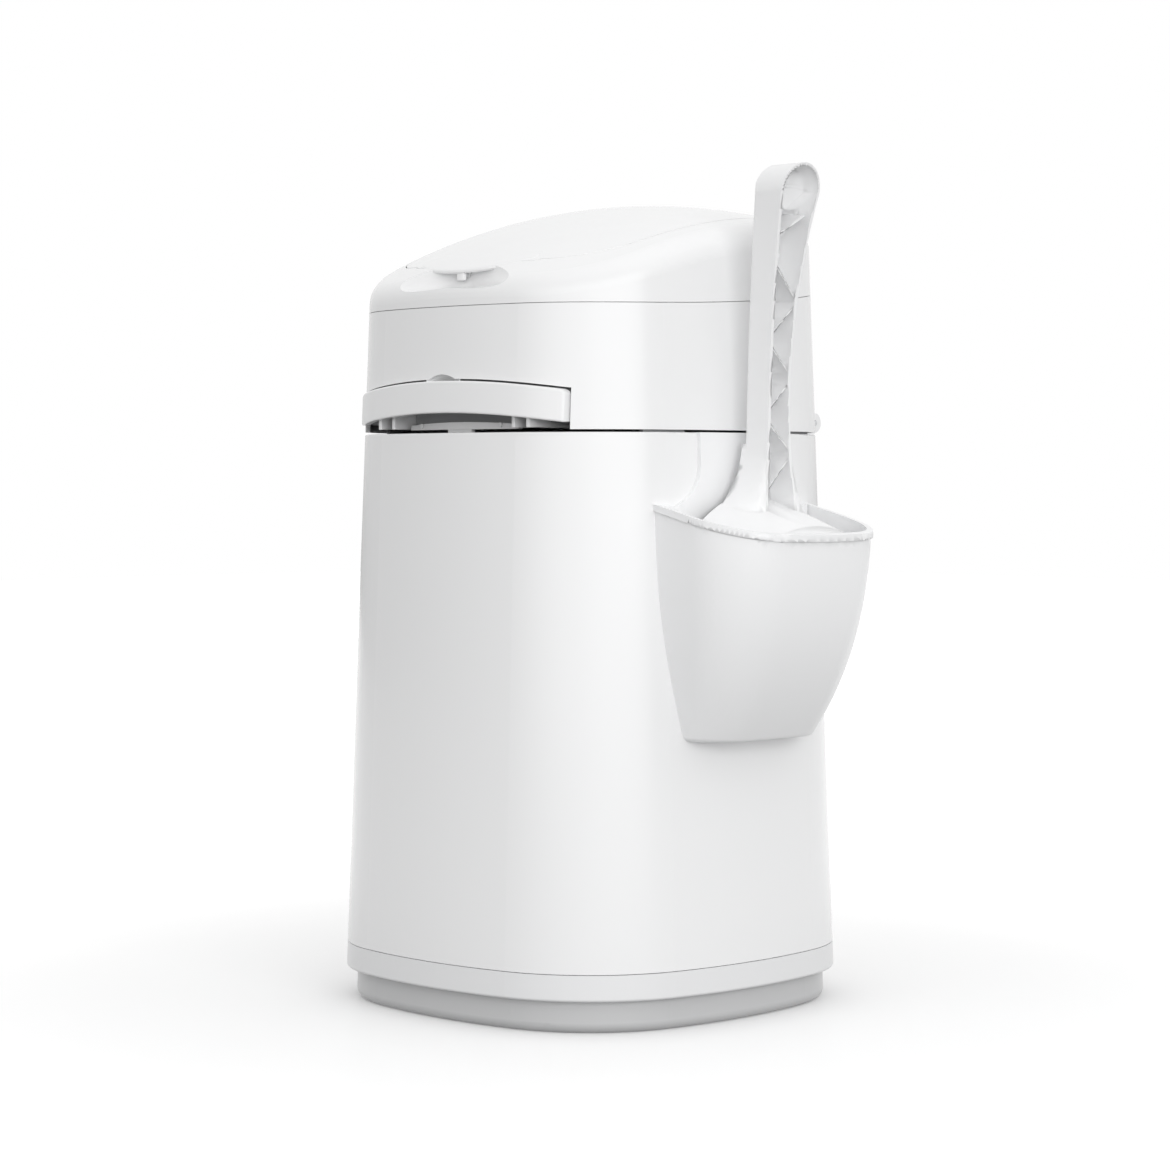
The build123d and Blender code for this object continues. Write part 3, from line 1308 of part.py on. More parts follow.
def make_shoulder():
    """Foot of the handle: wide at the back, where it meets the pan, and narrow in front."""
    rear = Pos(GRIP_BACK - FLARE_REAR, 0, 0) * flare_face(1.0, FLARE_ROOT)
    front = Pos(GRIP_FRONT + 6, 0, 0) * flare_face(0.05, FLARE_ROOT)
    form = loft([rear, front], ruled=True)
    return form & grip_side(-FLARE_REAR, -FLARE_ROOT, FOOT_HEIGHT - 12, HEAD_HEIGHT)


def pan_roof(lift):
    """Solid under the pan's arched shoulder, which falls outwards."""
    section = Pos(0, 0) * Circle(PAN_CROWN)
    crest = Pos(PAN_BACK, 0, PAN_CREST + lift - PAN_CROWN)
    fall = degrees(atan2(PAN_CREST_FALL, 1))
    tube = crest * Rot(0, 90 + fall, 0) * extrude(section, amount=2 * HALF, both=True)
    return tube


def pan_form(grow):
    """Solid of the pan, which follows the pocket and is open towards the pail."""
    inset = HOLDER_SKIN + PAN_GAP - grow
    lip = POCKET_FLOOR + HOLDER_SKIN + PAN_REST
    return pocket_form(inset, lip + min(grow, 0), PAN_CREST + 8) & pan_roof(grow)


def make_pan():
    """Slotted shell of the pan."""
    pan = pan_form(0) & block((PAN_BACK, 2 * HALF), (-HALF, HALF), (0, REACH))
    pan -= pan_form(-PAN_SKIN)
    for index in range(SLOT_COUNT):
        pan -= pan_slot((index - (SLOT_COUNT - 1) / 2) * SLOT_PITCH)
    return pan


def pan_slot(y):
    """One sifting slot with round ends."""
    length = SLOT_HIGH - SLOT_LOW
    face = Pos(y, (SLOT_LOW + SLOT_HIGH) / 2) * SlotOverall(length, SLOT_WIDTH, rotation=90)
    return along_x(face, (PAN_BACK + 8, 2 * HALF))


def make_scoop():
    """Scoop in one moulding: handle, shoulder and slotted pan."""
    handle = grip_solid() + make_shoulder() - grip_hollow()
    return (handle - pan_form(-PAN_SKIN)) + make_pan()


# --- Writing the pieces ---------------------------------------------------------------
PIECES = {
    "base": make_base,
    "foot_pads": make_foot_pads,
    "lower_shell": make_lower_shell,
    "pail_hinge_pin": make_pail_hinge_pin,
    "scoop_holder": make_scoop_holder,
    "cutter_housing": make_cutter_housing,
    "cutter_blade": make_cutter_blade,
    "upper_shell": make_upper_shell,
    "gate_frame": make_gate_frame,
    "frame_screws": make_frame_screws,
    "fixed_jaw": make_fixed_jaw,
    "funnel": make_funnel,
    "cassette_body": make_cassette_body,
    "film_pack": make_film_pack,
    "cassette_cover": make_cassette_cover,
    "top_cap": make_top_cap,
    "lid_hinge_pin": make_lid_hinge_pin,
    "pull_handle": make_pull_handle,
    "gate_slide": make_gate_slide,
    "moving_jaw": make_moving_jaw,
    "handle_screws": make_handle_screws,
    "return_spring_left": lambda: make_return_spring(-1),
    "return_spring_right": lambda: make_return_spring(1),
    "latch_button": make_latch_button,
    "latch_spring": make_latch_spring,
    "lid_shell": make_lid_shell,
    "lid_liner": make_lid_liner,
    "lid_seal": make_lid_seal,
    "scoop": make_scoop,
}


def write(name, made):
    """Write one piece, or a group of equal pieces, as a STEP file."""
    solids = made if isinstance(made, list) else made.solids()
    shape = solids[0] if len(solids) == 1 else Compound(children=list(solids))
    shape.label = name
    export_step(shape, f"parts/{name}.step")
    print(name, len(solids), round(sum(solid.volume for solid in solids)))


for piece, make in PIECES.items():
    write(piece, make())
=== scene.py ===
import json
import logging
import math
from dataclasses import dataclass, field
from enum import Enum

import bmesh
import bpy
from bmesh.types import BMesh
from bpy.types import Material, Mesh, Node, NodeSocket, NodeTree, Object
from mathutils import Matrix, Vector

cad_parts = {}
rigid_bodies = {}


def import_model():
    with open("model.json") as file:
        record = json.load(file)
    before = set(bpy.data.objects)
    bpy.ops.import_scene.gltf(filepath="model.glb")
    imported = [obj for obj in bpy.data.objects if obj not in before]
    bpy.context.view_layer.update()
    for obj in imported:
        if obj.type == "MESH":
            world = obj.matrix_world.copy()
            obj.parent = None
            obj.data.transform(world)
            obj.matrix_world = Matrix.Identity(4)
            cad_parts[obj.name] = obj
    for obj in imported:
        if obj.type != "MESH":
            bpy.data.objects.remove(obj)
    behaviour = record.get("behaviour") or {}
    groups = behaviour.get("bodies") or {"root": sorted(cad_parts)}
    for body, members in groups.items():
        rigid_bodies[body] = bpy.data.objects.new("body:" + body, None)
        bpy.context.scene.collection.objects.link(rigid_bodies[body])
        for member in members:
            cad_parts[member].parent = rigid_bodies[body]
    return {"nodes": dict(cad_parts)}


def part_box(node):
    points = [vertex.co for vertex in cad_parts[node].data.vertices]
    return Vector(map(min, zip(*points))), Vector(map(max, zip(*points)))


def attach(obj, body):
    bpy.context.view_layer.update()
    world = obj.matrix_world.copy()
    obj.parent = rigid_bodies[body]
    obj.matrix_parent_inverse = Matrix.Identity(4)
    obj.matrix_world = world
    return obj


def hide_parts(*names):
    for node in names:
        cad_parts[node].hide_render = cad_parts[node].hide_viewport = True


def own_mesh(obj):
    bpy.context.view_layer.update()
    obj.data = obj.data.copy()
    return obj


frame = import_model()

LOG = logging.getLogger("litter_pail")
MERGE = 2e-6
SLIVER = 1e-6
NOISE_SPAN = (0.3, 0.7)
RAMP_ENDS = (0.35, 0.65)
LEAST_ROUGHNESS = 0.02
CHASSIS_SCREWS = (0.0925, 0.053)
TAB_SCREWS = (0.051, -0.025)

Colour = tuple[float, float, float]
Point = tuple[float, float, float]
Span = tuple[float, float]


class Moulding(Enum):
    """Mould surface: spread of its gloss, grains per metre, and strength and height of a grain."""

    POLISHED = (0.008, 900.0, 0.02, 0.00002)
    SATIN = (0.02, 1400.0, 0.06, 0.00003)
    SPARK = (0.02, 2300.0, 0.22, 0.00006)


@dataclass(frozen=True)
class PlasticFinish:
    """Moulded plastic with a faint flow, an uneven gloss, the mould's own texture and, where set, painted
    shade on its foot.
    """

    name: str
    colour: Colour
    roughness: float
    moulding: Moulding = Moulding.SATIN
    coat: float = 0.0
    tint: float = 0.003
    subsurface: float = 0.0
    # Painted shade on the foot: the height below which the colour is darkened, and the share of it that is
    # kept.
    foot_shade: Span | None = None
    foot_shade_blend: float = 0.0006
    refraction: float = 1.5
    coat_roughness: float = 0.12
    scatter: float = 0.004
    flow: Span = (9.0, 3.0)
    uneven: Span = (34.0, 4.0)

    def build(self) -> Material:
        """Make the material.

        Returns:
            The finished material.
        """
        mat, tree, shader = new_material(self.name)
        noise_flow = add_noise(tree, *self.flow)
        low, high = (shade(self.colour, factor) for factor in (1 - self.tint, 1 + self.tint))
        colour = add_ramp(tree, noise_flow, low, high)
        # Painted shade: the foot below a set height is darkened.
        if self.foot_shade is not None:
            colour = self.paint_foot_shade(tree, colour)
        noise_gloss = add_noise(tree, *self.uneven)
        spread, *grain = self.moulding.value
        gloss = add_range(tree, noise_gloss, self.roughness - spread, self.roughness + spread)
        add_bump(tree, shader, *grain)
        feed(tree, shader, Base_Color=colour, Roughness=gloss, IOR=self.refraction)
        feed(tree, shader, Coat_Weight=self.coat, Coat_Roughness=self.coat_roughness)
        if self.subsurface > 0:
            feed(tree, shader, Subsurface_Weight=self.subsurface, Subsurface_Radius=(self.scatter,) * 3)
        return mat

    def paint_foot_shade(self, tree: NodeTree, colour: NodeSocket) -> NodeSocket:
        """Paint shade on the set-back foot of a moulding: darken it below a height, where it sits in shadow
        near the floor.

        Args:
            tree: Tree of the material.
            colour: The plastic's own colour.

        Returns:
            The blended colour.
        """
        height, share = self.foot_shade
        coords = add_node(tree, "ShaderNodeTexCoord")
        split = add_node(tree, "ShaderNodeSeparateXYZ", in_0=coords.outputs["Object"])
        # Painted shade: full colour above the foot's height, darker below it.
        below = add_span(tree, split.outputs["Z"], (height - self.foot_shade_blend, height), (share, 1.0))
        scaled = add_node(tree, "ShaderNodeVectorMath", {"operation": "SCALE"}, in_0=colour, Scale=below)
        return scaled.outputs[0]


@dataclass(frozen=True)
class SteelFinish:
    """Drawn or ground steel, with fine scratches along its length."""

    name: str
    colour: Colour
    roughness: float
    scratch: Span = (420.0, 5.0)
    stretch: Point = (0.05, 1.0, 1.0)
    shades: Span = (0.86, 1.08)
    spread: Span = (0.08, 0.1)
    grain: Point = (1800.0, 0.08, 0.00003)

    def build(self) -> Material:
        """Make the material.

        Returns:
            The finished material.
        """
        mat, tree, shader = new_material(self.name)
        noise = add_noise(tree, *self.scratch, stretch=self.stretch)
        below, above = self.spread
        gloss = (self.roughness - below, self.roughness + above)
        mottle(tree, shader, noise, self.colour, self.shades, gloss)
        add_bump(tree, shader, *self.grain)
        feed(tree, shader, Metallic=1.0)
        return mat


@dataclass(frozen=True)
class RubberFinish:
    """Soft rubber with a dull, slightly mottled skin."""

    name: str
    colour: Colour
    patches: Span = (160.0, 6.0)
    shades: Span = (0.8, 1.25)
    gloss: Span = (0.62, 0.82)
    grain: Point = (1500.0, 0.3, 0.00008)

    def build(self) -> Material:
        """Make the material.

        Returns:
            The finished material.
        """
        mat, tree, shader = new_material(self.name)
        mottle(tree, shader, add_noise(tree, *self.patches), self.colour, self.shades, self.gloss)
        add_bump(tree, shader, *self.grain)
        return mat


def find_socket(node: Node, key: str) -> NodeSocket:
    """Find an enabled input.

    Args:
        node: Node to look at.
        key: Its name with _ for a space, or its place as in_0.

    Returns:
        The input socket.
    """
    if key.startswith("in_"):
        return node.inputs[int(key[3:])]
    named = [item for item in node.inputs if item.name == key.replace("_", " ")]
    return next((item for item in named if item.enabled), named[0])


def feed(tree: NodeTree, node: Node, **values: object) -> None:
    """Set or link the inputs of a node.

    Args:
        tree: Tree of the node.
        node: Node to feed.
        values: Names or places of inputs, to a value or a source socket.
    """
    for key, value in values.items():
        socket = find_socket(node, key)
        if isinstance(value, NodeSocket):
            tree.links.new(value, socket)
        else:
            socket.default_value = value


def add_node(tree: NodeTree, kind: str, settings: dict | None = None, **values: object) -> Node:
    """Add a node and feed it.

    Args:
        tree: Tree to add to.
        kind: Type of the node.
        settings: Properties to set on it.
        values: Names or places of inputs, to a value or a source socket.

    Returns:
        The new node.
    """
    node = tree.nodes.new(kind)
    for key, value in (settings or {}).items():
        setattr(node, key, value)
    feed(tree, node, **values)
    return node


def combine(tree: NodeTree, operation: str, first: object, second: object = 0.0) -> NodeSocket:
    """Combine two numbers.

    Args:
        tree: Tree to add to.
        operation: Name of the operation.
        first: Value or socket.
        second: Value or socket.

    Returns:
        The result.
    """
    return add_node(tree, "ShaderNodeMath", {"operation": operation}, in_0=first, in_1=second).outputs[0]


def add_span(tree: NodeTree, value: NodeSocket, span: tuple, out: tuple, smooth: bool = False) -> NodeSocket:
    """Map a value from one span onto another.

    Args:
        tree: Tree to add to.
        value: Socket that is read.
        span: Where the blend starts and ends.
        out: Value before and after it.
        smooth: Whether it eases in and out.

    Returns:
        The mapped value.
    """
    ends = dict(zip(("From_Min", "From_Max", "To_Min", "To_Max"), span + out))
    settings = {"interpolation_type": "SMOOTHSTEP" if smooth else "LINEAR"}
    return add_node(tree, "ShaderNodeMapRange", settings, Value=value, **ends).outputs["Result"]


def shade(colour: Colour, factor: float) -> tuple[float, float, float, float]:
    """Scale a colour.

    Args:
        colour: Red, green and blue.
        factor: Brightness factor.

    Returns:
        The scaled colour with full alpha.
    """
    return tuple(min(1.0, part * factor) for part in colour) + (1.0,)


def new_material(name: str) -> tuple[Material, NodeTree, Node]:
    """Start a node material.

    Args:
        name: Name of the material.

    Returns:
        The material, its tree and its main shader.
    """
    mat = bpy.data.materials.new(name)
    mat.use_nodes = True
    tree = mat.node_tree
    tree.nodes.clear()
    out = tree.nodes.new("ShaderNodeOutputMaterial")
    shader = tree.nodes.new("ShaderNodeBsdfPrincipled")
    feed(tree, out, Surface=shader.outputs["BSDF"])
    return mat, tree, shader


def add_noise(tree: NodeTree, scale: float, detail: float, stretch: Point = (1.0, 1.0, 1.0)) -> NodeSocket:
    """Add a noise texture on object coordinates.

    Args:
        tree: Tree to add to.
        scale: Scale of the noise, per metre.
        detail: Octaves.
        stretch: Scale along each axis.

    Returns:
        The noise.
    """
    coords = add_node(tree, "ShaderNodeTexCoord")
    mapping = add_node(tree, "ShaderNodeMapping", Vector=coords.outputs["Object"], Scale=stretch)
    noise = add_node(tree, "ShaderNodeTexNoise", Vector=mapping.outputs["Vector"], Scale=scale, Detail=detail)
    return noise.outputs["Fac"]


def add_ramp(tree: NodeTree, noise: NodeSocket, low: tuple, high: tuple) -> NodeSocket:
    """Turn a noise into a blend of two colours.

    Args:
        tree: Tree to add to.
        noise: The noise.
        low: Colour of the valleys.
        high: Colour of the peaks.

    Returns:
        The blended colour.
    """
    ramp = add_node(tree, "ShaderNodeValToRGB", Fac=noise)
    for element, place, colour in zip(ramp.color_ramp.elements, RAMP_ENDS, (low, high)):
        element.position = place
        element.color = colour
    return ramp.outputs["Color"]


def add_range(tree: NodeTree, noise: NodeSocket, low: float, high: float) -> NodeSocket:
    """Map a noise onto a range of roughness."""
    return add_span(tree, noise, NOISE_SPAN, (max(LEAST_ROUGHNESS, low), high))


def mottle(
    tree: NodeTree, shader: Node, noise: NodeSocket, colour: Colour, shades: Span, gloss: Span
) -> None:
    """Vary the colour and the roughness of a shader with one noise.

    Args:
        tree: Tree to add to.
        shader: Shader that takes them.
        noise: The noise.
        colour: Colour of the middle.
        shades: Its brightness in the valleys and on the peaks.
        gloss: Roughness in the valleys and on the peaks.
    """
    ramp = add_ramp(tree, noise, *(shade(colour, factor) for factor in shades))
    feed(tree, shader, Base_Color=ramp, Roughness=add_range(tree, noise, *gloss))


def add_bump(tree: NodeTree, shader: Node, scale: float, strength: float, distance: float) -> None:
    """Give a shader a fine texture.

    Args:
        tree: Tree to add to.
        shader: Shader that takes the normal.
        scale: Grains per metre.
        strength: Strength of the bump.
        distance: Height of the grains, in metres.
    """
    noise = add_noise(tree, scale=scale, detail=2.0)
    bump = add_node(tree, "ShaderNodeBump", Strength=strength, Distance=distance, Height=noise)
    feed(tree, shader, Normal=bump.outputs["Normal"])


WHITE = (0.86, 0.862, 0.866)
SHELL = PlasticFinish("white_shell", WHITE, 0.24, Moulding.POLISHED, coat=0.25)
# The base takes a slightly greyer white than the shell. Below 16.4 mm its foot keeps only 0.7 of that colour,
# as painted shade where the foot sits near the floor.
PLINTH = PlasticFinish(
    "white_plinth", (0.79, 0.793, 0.80), 0.3, Moulding.POLISHED, coat=0.1, foot_shade=(0.0164, 0.7)
)
HOLDER = PlasticFinish("white_holder", (0.875, 0.878, 0.884), 0.32, Moulding.POLISHED, coat=0.15)
SCOOP = PlasticFinish("white_scoop", (0.865, 0.867, 0.872), 0.36, Moulding.SATIN)
CASSETTE = PlasticFinish("white_cassette", (0.80, 0.81, 0.825), 0.42, Moulding.SATIN)
# The inner parts take a mid grey, well below the shell's white: partly their own plastic, partly painted
# shade of the dim gaps they sit in under the handle and along the split.
CHASSIS_GREY_AND_SHADE = PlasticFinish("grey_chassis", (0.42, 0.425, 0.435), 0.5, Moulding.SPARK)
FILM = PlasticFinish("packed_film", (0.55, 0.66, 0.76), 0.3, Moulding.POLISHED, subsurface=0.1)
STEEL = SteelFinish("drawn_steel", (0.62, 0.63, 0.64), 0.28)
JAW = RubberFinish("jaw_rubber", (0.05, 0.05, 0.053))
PADS = RubberFinish("pad_rubber", (0.035, 0.035, 0.035))


@dataclass
class Nodes:
    """CAD pieces that keep their shape and take a finish."""

    finishes: dict = field(
        default_factory=lambda: {
            PLINTH: ("base",),
            SHELL: ("lower_shell", "upper_shell", "top_cap", "pull_handle", "latch_button", "lid_shell"),
            HOLDER: ("scoop_holder",),
            SCOOP: ("scoop",),
            CASSETTE: ("cassette_body", "cassette_cover"),
            CHASSIS_GREY_AND_SHADE: ("cutter_housing", "gate_frame", "funnel", "gate_slide", "lid_liner"),
            FILM: ("film_pack",),
            STEEL: (
                "pail_hinge_pin", "cutter_blade", "frame_screws", "lid_hinge_pin", "handle_screws",
                "return_spring_left", "return_spring_right", "latch_spring",
            ),
            JAW: ("fixed_jaw", "moving_jaw", "lid_seal"),
            PADS: ("foot_pads",),
        }
    )

    def dress(self) -> None:
        """Give every CAD piece its finish."""
        for finish, names in self.finishes.items():
            mat = finish.build()
            for name in names:
                obj = frame["nodes"][name]
                obj.data.materials.clear()
                obj.data.materials.append(mat)
                LOG.info("dressed %s in %s", name, finish.name)


class GeometryTree:
    """Geometry Nodes group with named inputs, which ends in realised, dressed geometry."""

    KINDS = {int: "Int", float: "Float", type(None): "Object"}

    def __init__(self, name: str, knobs: dict[str, object]) -> None:
        """Start the group.

        Args:
            name: Name of the group.
            knobs: Its inputs besides the geometry and the finish, with their usual values.
        """
        self.tree = bpy.data.node_groups.new(name, "GeometryNodeTree")
        self.knobs = knobs
        self.declare("Geometry", "Geometry")
        self.ids = {key: self.declare(key, self.KINDS[type(value)]) for key, value in knobs.items()}
        self.ids["Finish"] = self.declare("Finish", "Material")
        self.declare("Geometry", "Geometry", "OUTPUT")
        self.entry = self.tree.nodes.new("NodeGroupInput")

    def declare(self, name: str, kind: str, way: str = "INPUT") -> str:
        """Add a socket to the group and return its identifier."""
        made = self.tree.interface.new_socket(name=name, in_out=way, socket_type=f"NodeSocket{kind}")
        return made.identifier

    def add(self, kind: str, settings: dict | None = None, **links: object) -> Node:
        """Add a node.

        Args:
            kind: Type of the node, without its prefix where it is a geometry node.
            settings: Properties to set on it.
            links: Socket names, with _ for a space, to a value or a source socket.

        Returns:
            The new node.
        """
        full = kind if kind.startswith("Shader") else f"GeometryNode{kind}"
        return add_node(self.tree, full, settings, **links)

    def knob(self, name: str) -> NodeSocket:
        """Return the socket of a named input."""
        return self.entry.outputs[name]

    def math(self, operation: str, first: object, second: object = 0.0) -> NodeSocket:
        """Combine two numbers."""
        return combine(self.tree, operation, first, second)

    def vector(self, x: object = 0.0, y: object = 0.0, z: object = 0.0) -> NodeSocket:
        """Combine three numbers into a vector."""
        return self.add("ShaderNodeCombineXYZ", X=x, Y=y, Z=z).outputs[0]

    def close(self, geometry: NodeSocket, smooth: bool = True) -> None:
        """Realise the geometry, give it its finish and join it to the output.

        Args:
            geometry: Geometry to put out.
            smooth: Whether its faces shade smoothly.
        """
        real = self.add("RealizeInstances", Geometry=geometry)
        shaded = self.add("SetShadeSmooth", Geometry=real.outputs[0], Shade_Smooth=smooth)
        dressed = self.add("SetMaterial", Geometry=shaded.outputs[0], Material=self.knob("Finish"))
        out = self.tree.nodes.new("NodeGroupOutput")
        self.tree.links.new(dressed.outputs[0], out.inputs[0])

    def make(self, name: str, base: Mesh, finish: Material, **values: object) -> Object:
        """Run the tree on a mesh and keep the result as a plain mesh.

        Args:
            name: Name of the new piece.
            base: Mesh that goes in.
            finish: Material of the result.
            values: Values of named inputs, with _ for a space.

        Returns:
            The finished object, at the origin.
        """
        host = place_object(f"{name}_host", base)
        mod = host.modifiers.new("shape", "NODES")
        mod.node_group = self.tree
        mod[self.ids["Finish"]] = finish
        for key, usual in self.knobs.items():
            mod[self.ids[key]] = values.get(key.replace(" ", "_"), usual)
        mesh = evaluated_mesh(host)
        mesh.name = name
        bpy.data.objects.remove(host)
        return place_object(name, mesh)


def place_object(name: str, data: bpy.types.ID) -> Object:
    """Put a mesh, a light or a camera into the scene.

    Args:
        name: Name of the object.
        data: What it shows.

    Returns:
        The object, at the origin.
    """
    obj = bpy.data.objects.new(name, data)
    bpy.context.scene.collection.objects.link(obj)
    return obj


def evaluated_mesh(obj: Object, all_layers: bool = False) -> Mesh:
    """Return the mesh of an object after its modifiers."""
    bpy.context.view_layer.update()
    graph = bpy.context.evaluated_depsgraph_get()
    done = obj.evaluated_get(graph)
    return bpy.data.meshes.new_from_object(done, preserve_all_data_layers=all_layers, depsgraph=graph)


def plain_mesh(name: str, bm: BMesh) -> Mesh:
    """Turn a bmesh, which is freed, into a mesh."""
    mesh = bpy.data.meshes.new(name)
    bm.to_mesh(mesh)
    bm.free()
    return mesh


def point_mesh(name: str, points: list[Point]) -> Mesh:
    """Make a mesh of loose points, in metres."""
    mesh = bpy.data.meshes.new(name)
    mesh.from_pydata(points, [], [])
    return mesh


def drop(radius: float, distance: float) -> float:
    """Return how far an arc falls away after a distance along its tangent."""
    return radius - math.sqrt(max(0.0, radius**2 - distance**2))


def front_wall(x: float, inset: float, z: float) -> float:
    """Find the drafted front wall.

    Args:
        x: Distance from the middle.
        inset: How far the wall is drawn in.
        z: Height.

    Returns:
        The wall's place along Y.
    """
    half, side, corner, draft = 0.1205, 0.274, 0.079, math.tan(math.radians(2.1))
    drawn = inset + draft * z
    shift, reach = side - half, side - corner
    at = (math.sqrt(2 * reach**2 - shift**2) - shift) / 2
    bend = math.atan2(at, at + shift)
    if abs(x) <= (side - drawn) * math.sin(bend):
        return shift - math.sqrt((side - drawn) ** 2 - x**2)
    return -at - math.sqrt((corner - drawn) ** 2 - (abs(x) - at) ** 2)


def sharpen(obj: Object, degrees: float = 30.0) -> None:
    """Shade a piece smoothly but for its edges above an angle."""
    obj.data.shade_smooth()
    obj.data.set_sharp_from_angle(angle=math.radians(degrees))


def weigh_normals(obj: Object, weight: int = 60) -> None:
    """Let large faces lead the shading, so that small rounds stay crisp, and keep the result.

    Args:
        obj: Piece to shade.
        weight: How strongly large faces lead.
    """
    mod = obj.modifiers.new("normals", "WEIGHTED_NORMAL")
    mod.keep_sharp = True
    mod.weight = weight
    mesh = evaluated_mesh(obj, all_layers=True)
    obj.modifiers.clear()
    mesh.name = obj.name
    obj.data = mesh


def dressed_object(name: str, bm: BMesh, finish: Material) -> Object:
    """Turn a bmesh into a dressed object.

    Args:
        name: Name of the piece.
        bm: Its mesh, which is freed.
        finish: Its material.

    Returns:
        The object, at the origin.
    """
    bmesh.ops.recalc_face_normals(bm, faces=bm.faces)
    mesh = plain_mesh(name, bm)
    mesh.materials.append(finish)
    return place_object(name, mesh)


def prism(bm: BMesh, side: list[Span], span: Span, edge: float = 0.0003) -> None:
    """Add a plate drawn in Y and Z, with slightly rounded edges.

    Args:
        bm: Mesh that takes the plate.
        side: Its corners in Y and Z.
        span: Where it starts and ends along X.
        edge: Width of the rounded edges.
    """
    rings = [[bm.verts.new((x, y, z)) for y, z in side] for x in span]
    faces = [bm.faces.new(rings[0]), bm.faces.new(rings[1][::-1])]
    for i in range(len(side)):
        j = (i + 1) % len(side)
        faces.append(bm.faces.new((rings[0][i], rings[0][j], rings[1][j], rings[1][i])))
    edges = list({item for face in faces for item in face.edges})
    bmesh.ops.bevel(bm, geom=edges, offset=edge, segments=2, profile=0.5, affect="EDGES")


def loft(bm: BMesh, sections: list[list[Point]]) -> None:
    """Join closed rings of points one after another, and close both ends.

    Args:
        bm: Mesh that takes the faces.
        sections: Rings with the same number of points.
    """
    rings = [[bm.verts.new(point) for point in points] for points in sections]
    count = len(rings[0])
    for first, second in zip(rings, rings[1:]):
        for i in range(count):
            j = (i + 1) % count
            bm.faces.new((first[i], first[j], second[j], second[i]))
    bm.faces.new(rings[0])
    bm.faces.new(rings[-1][::-1])


def merged_copy(node: str) -> BMesh:
    """Copy the mesh of a CAD piece and merge its loose triangles.

    Args:
        node: Name of the piece.

    Returns:
        The copy.
    """
    bm = bmesh.new()
    bm.from_mesh(frame["nodes"][node].data)
    bmesh.ops.remove_doubles(bm, verts=bm.verts, dist=MERGE)
    bmesh.ops.dissolve_degenerate(bm, edges=bm.edges, dist=SLIVER)
    return bm


@dataclass
class PullHandle:
    """Arched band across the front wall, with two H-section arms to the slide."""

    half: float = 0.077
    top: float = 0.3296
    bottom: float = 0.3130
    arch: float = 0.545
    proud: float = 0.0026
    thickness: float = 0.0044
    corner: float = 0.0032
    low_corner: float = 0.0009
    edge: float = 0.0011
    arm: Span = (0.0445, 0.0575)
    rib: float = 0.0024
    rib_low: float = 0.3052
    rib_high: float = 0.322
    rear: float = -0.037
    web: Span = (0.3138, 0.3162)
    web_rear: float = -0.019
    web_clear: float = 0.0004
    embed: float = 0.0005
    rib_fall: float = 0.004
    edge_steps: int = 6
    corner_steps: int = 8
    inner_steps: int = 18
    crease: float = 34.0

    def section(self, x: float) -> list[Point]:
        """Find the points round the band at one place.

        Args:
            x: Distance from the middle.

        Returns:
            The points, front first.
        """
        across = abs(x)
        from_corner = across - self.half + self.corner
        from_low = across - self.half + self.low_corner
        high = self.top - drop(self.arch, x) - drop(self.corner, max(0.0, from_corner))
        low = self.bottom - drop(self.arch, x) + drop(self.low_corner, max(0.0, from_low))
        set_back = drop(self.edge, max(0.0, across - self.half + self.edge))
        points = []
        for end, sign in ((low, 1), (high, -1)):
            arc = []
            for step in range(self.edge_steps + 1):
                turn = math.radians(90 * step / self.edge_steps)
                arc.append((self.edge * (1 - math.sin(turn)), end + sign * self.edge * (1 - math.cos(turn))))
            points += arc if sign > 0 else arc[::-1]
        fronts = [(x, front_wall(x, -self.proud, z) + set_back + deep, z) for deep, z in points]
        rear = self.thickness - self.proud
        ends = [(x, front_wall(x, rear, z), z) for z in (high, low)]
        return fronts + ends

    def band(self, bm: BMesh) -> None:
        """Loft the band through its sections.

        Args:
            bm: Mesh of the handle.
        """
        turns = [math.radians(90 * step / self.corner_steps) for step in range(self.corner_steps + 1)]
        ends = [self.half - self.corner * (1 - math.sin(turn)) for turn in turns]
        inner = [ends[0] * step / self.inner_steps for step in range(1 - self.inner_steps, self.inner_steps)]
        loft(bm, [self.section(x) for x in [-x for x in ends[::-1]] + inner + ends])

    def arms(self, bm: BMesh) -> None:
        """Set the two arms behind the band.

        Args:
            bm: Mesh of the handle.
        """
        deep = self.thickness - self.proud - self.embed
        for sign in (-1, 1):
            inner, outer = self.arm
            start = front_wall(outer, deep, self.bottom)
            side = [
                (start, self.rib_low), (self.rear, self.rib_low),
                (self.rear, self.rib_high - self.rib_fall), (start, self.rib_high),
            ]
            for span in ((inner, inner + self.rib), (outer - self.rib, outer)):
                prism(bm, side, (sign * span[0], sign * span[1]))
            low, high = self.web
            plate = [(start, low), (self.web_rear, low), (self.web_rear, high), (start, high)]
            prism(bm, plate, (sign * (inner + self.web_clear), sign * (outer - self.web_clear)))

    def build(self, finish: Material) -> None:
        """Make the handle in the place of its CAD node.

        Args:
            finish: Plastic of the shell.
        """
        bm = bmesh.new()
        self.band(bm)
        self.arms(bm)
        obj = dressed_object("handle_band", bm, finish)
        sharpen(obj, self.crease)
        weigh_normals(obj)
        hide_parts("pull_handle")
        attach(obj, "gate")
        LOG.info("made the pull handle")


def dome_top(x: float, y: float) -> float:
    """Find the height of the dome.

    Args:
        x: Place to the side.
        y: Place along the depth.

    Returns:
        The height over the floor.
    """
    across, along, setback, crown = 0.3362, 0.2606, 0.0433, 0.4276
    ring = across - drop(along, y - setback)
    return crown - across + math.sqrt(ring**2 - x**2)


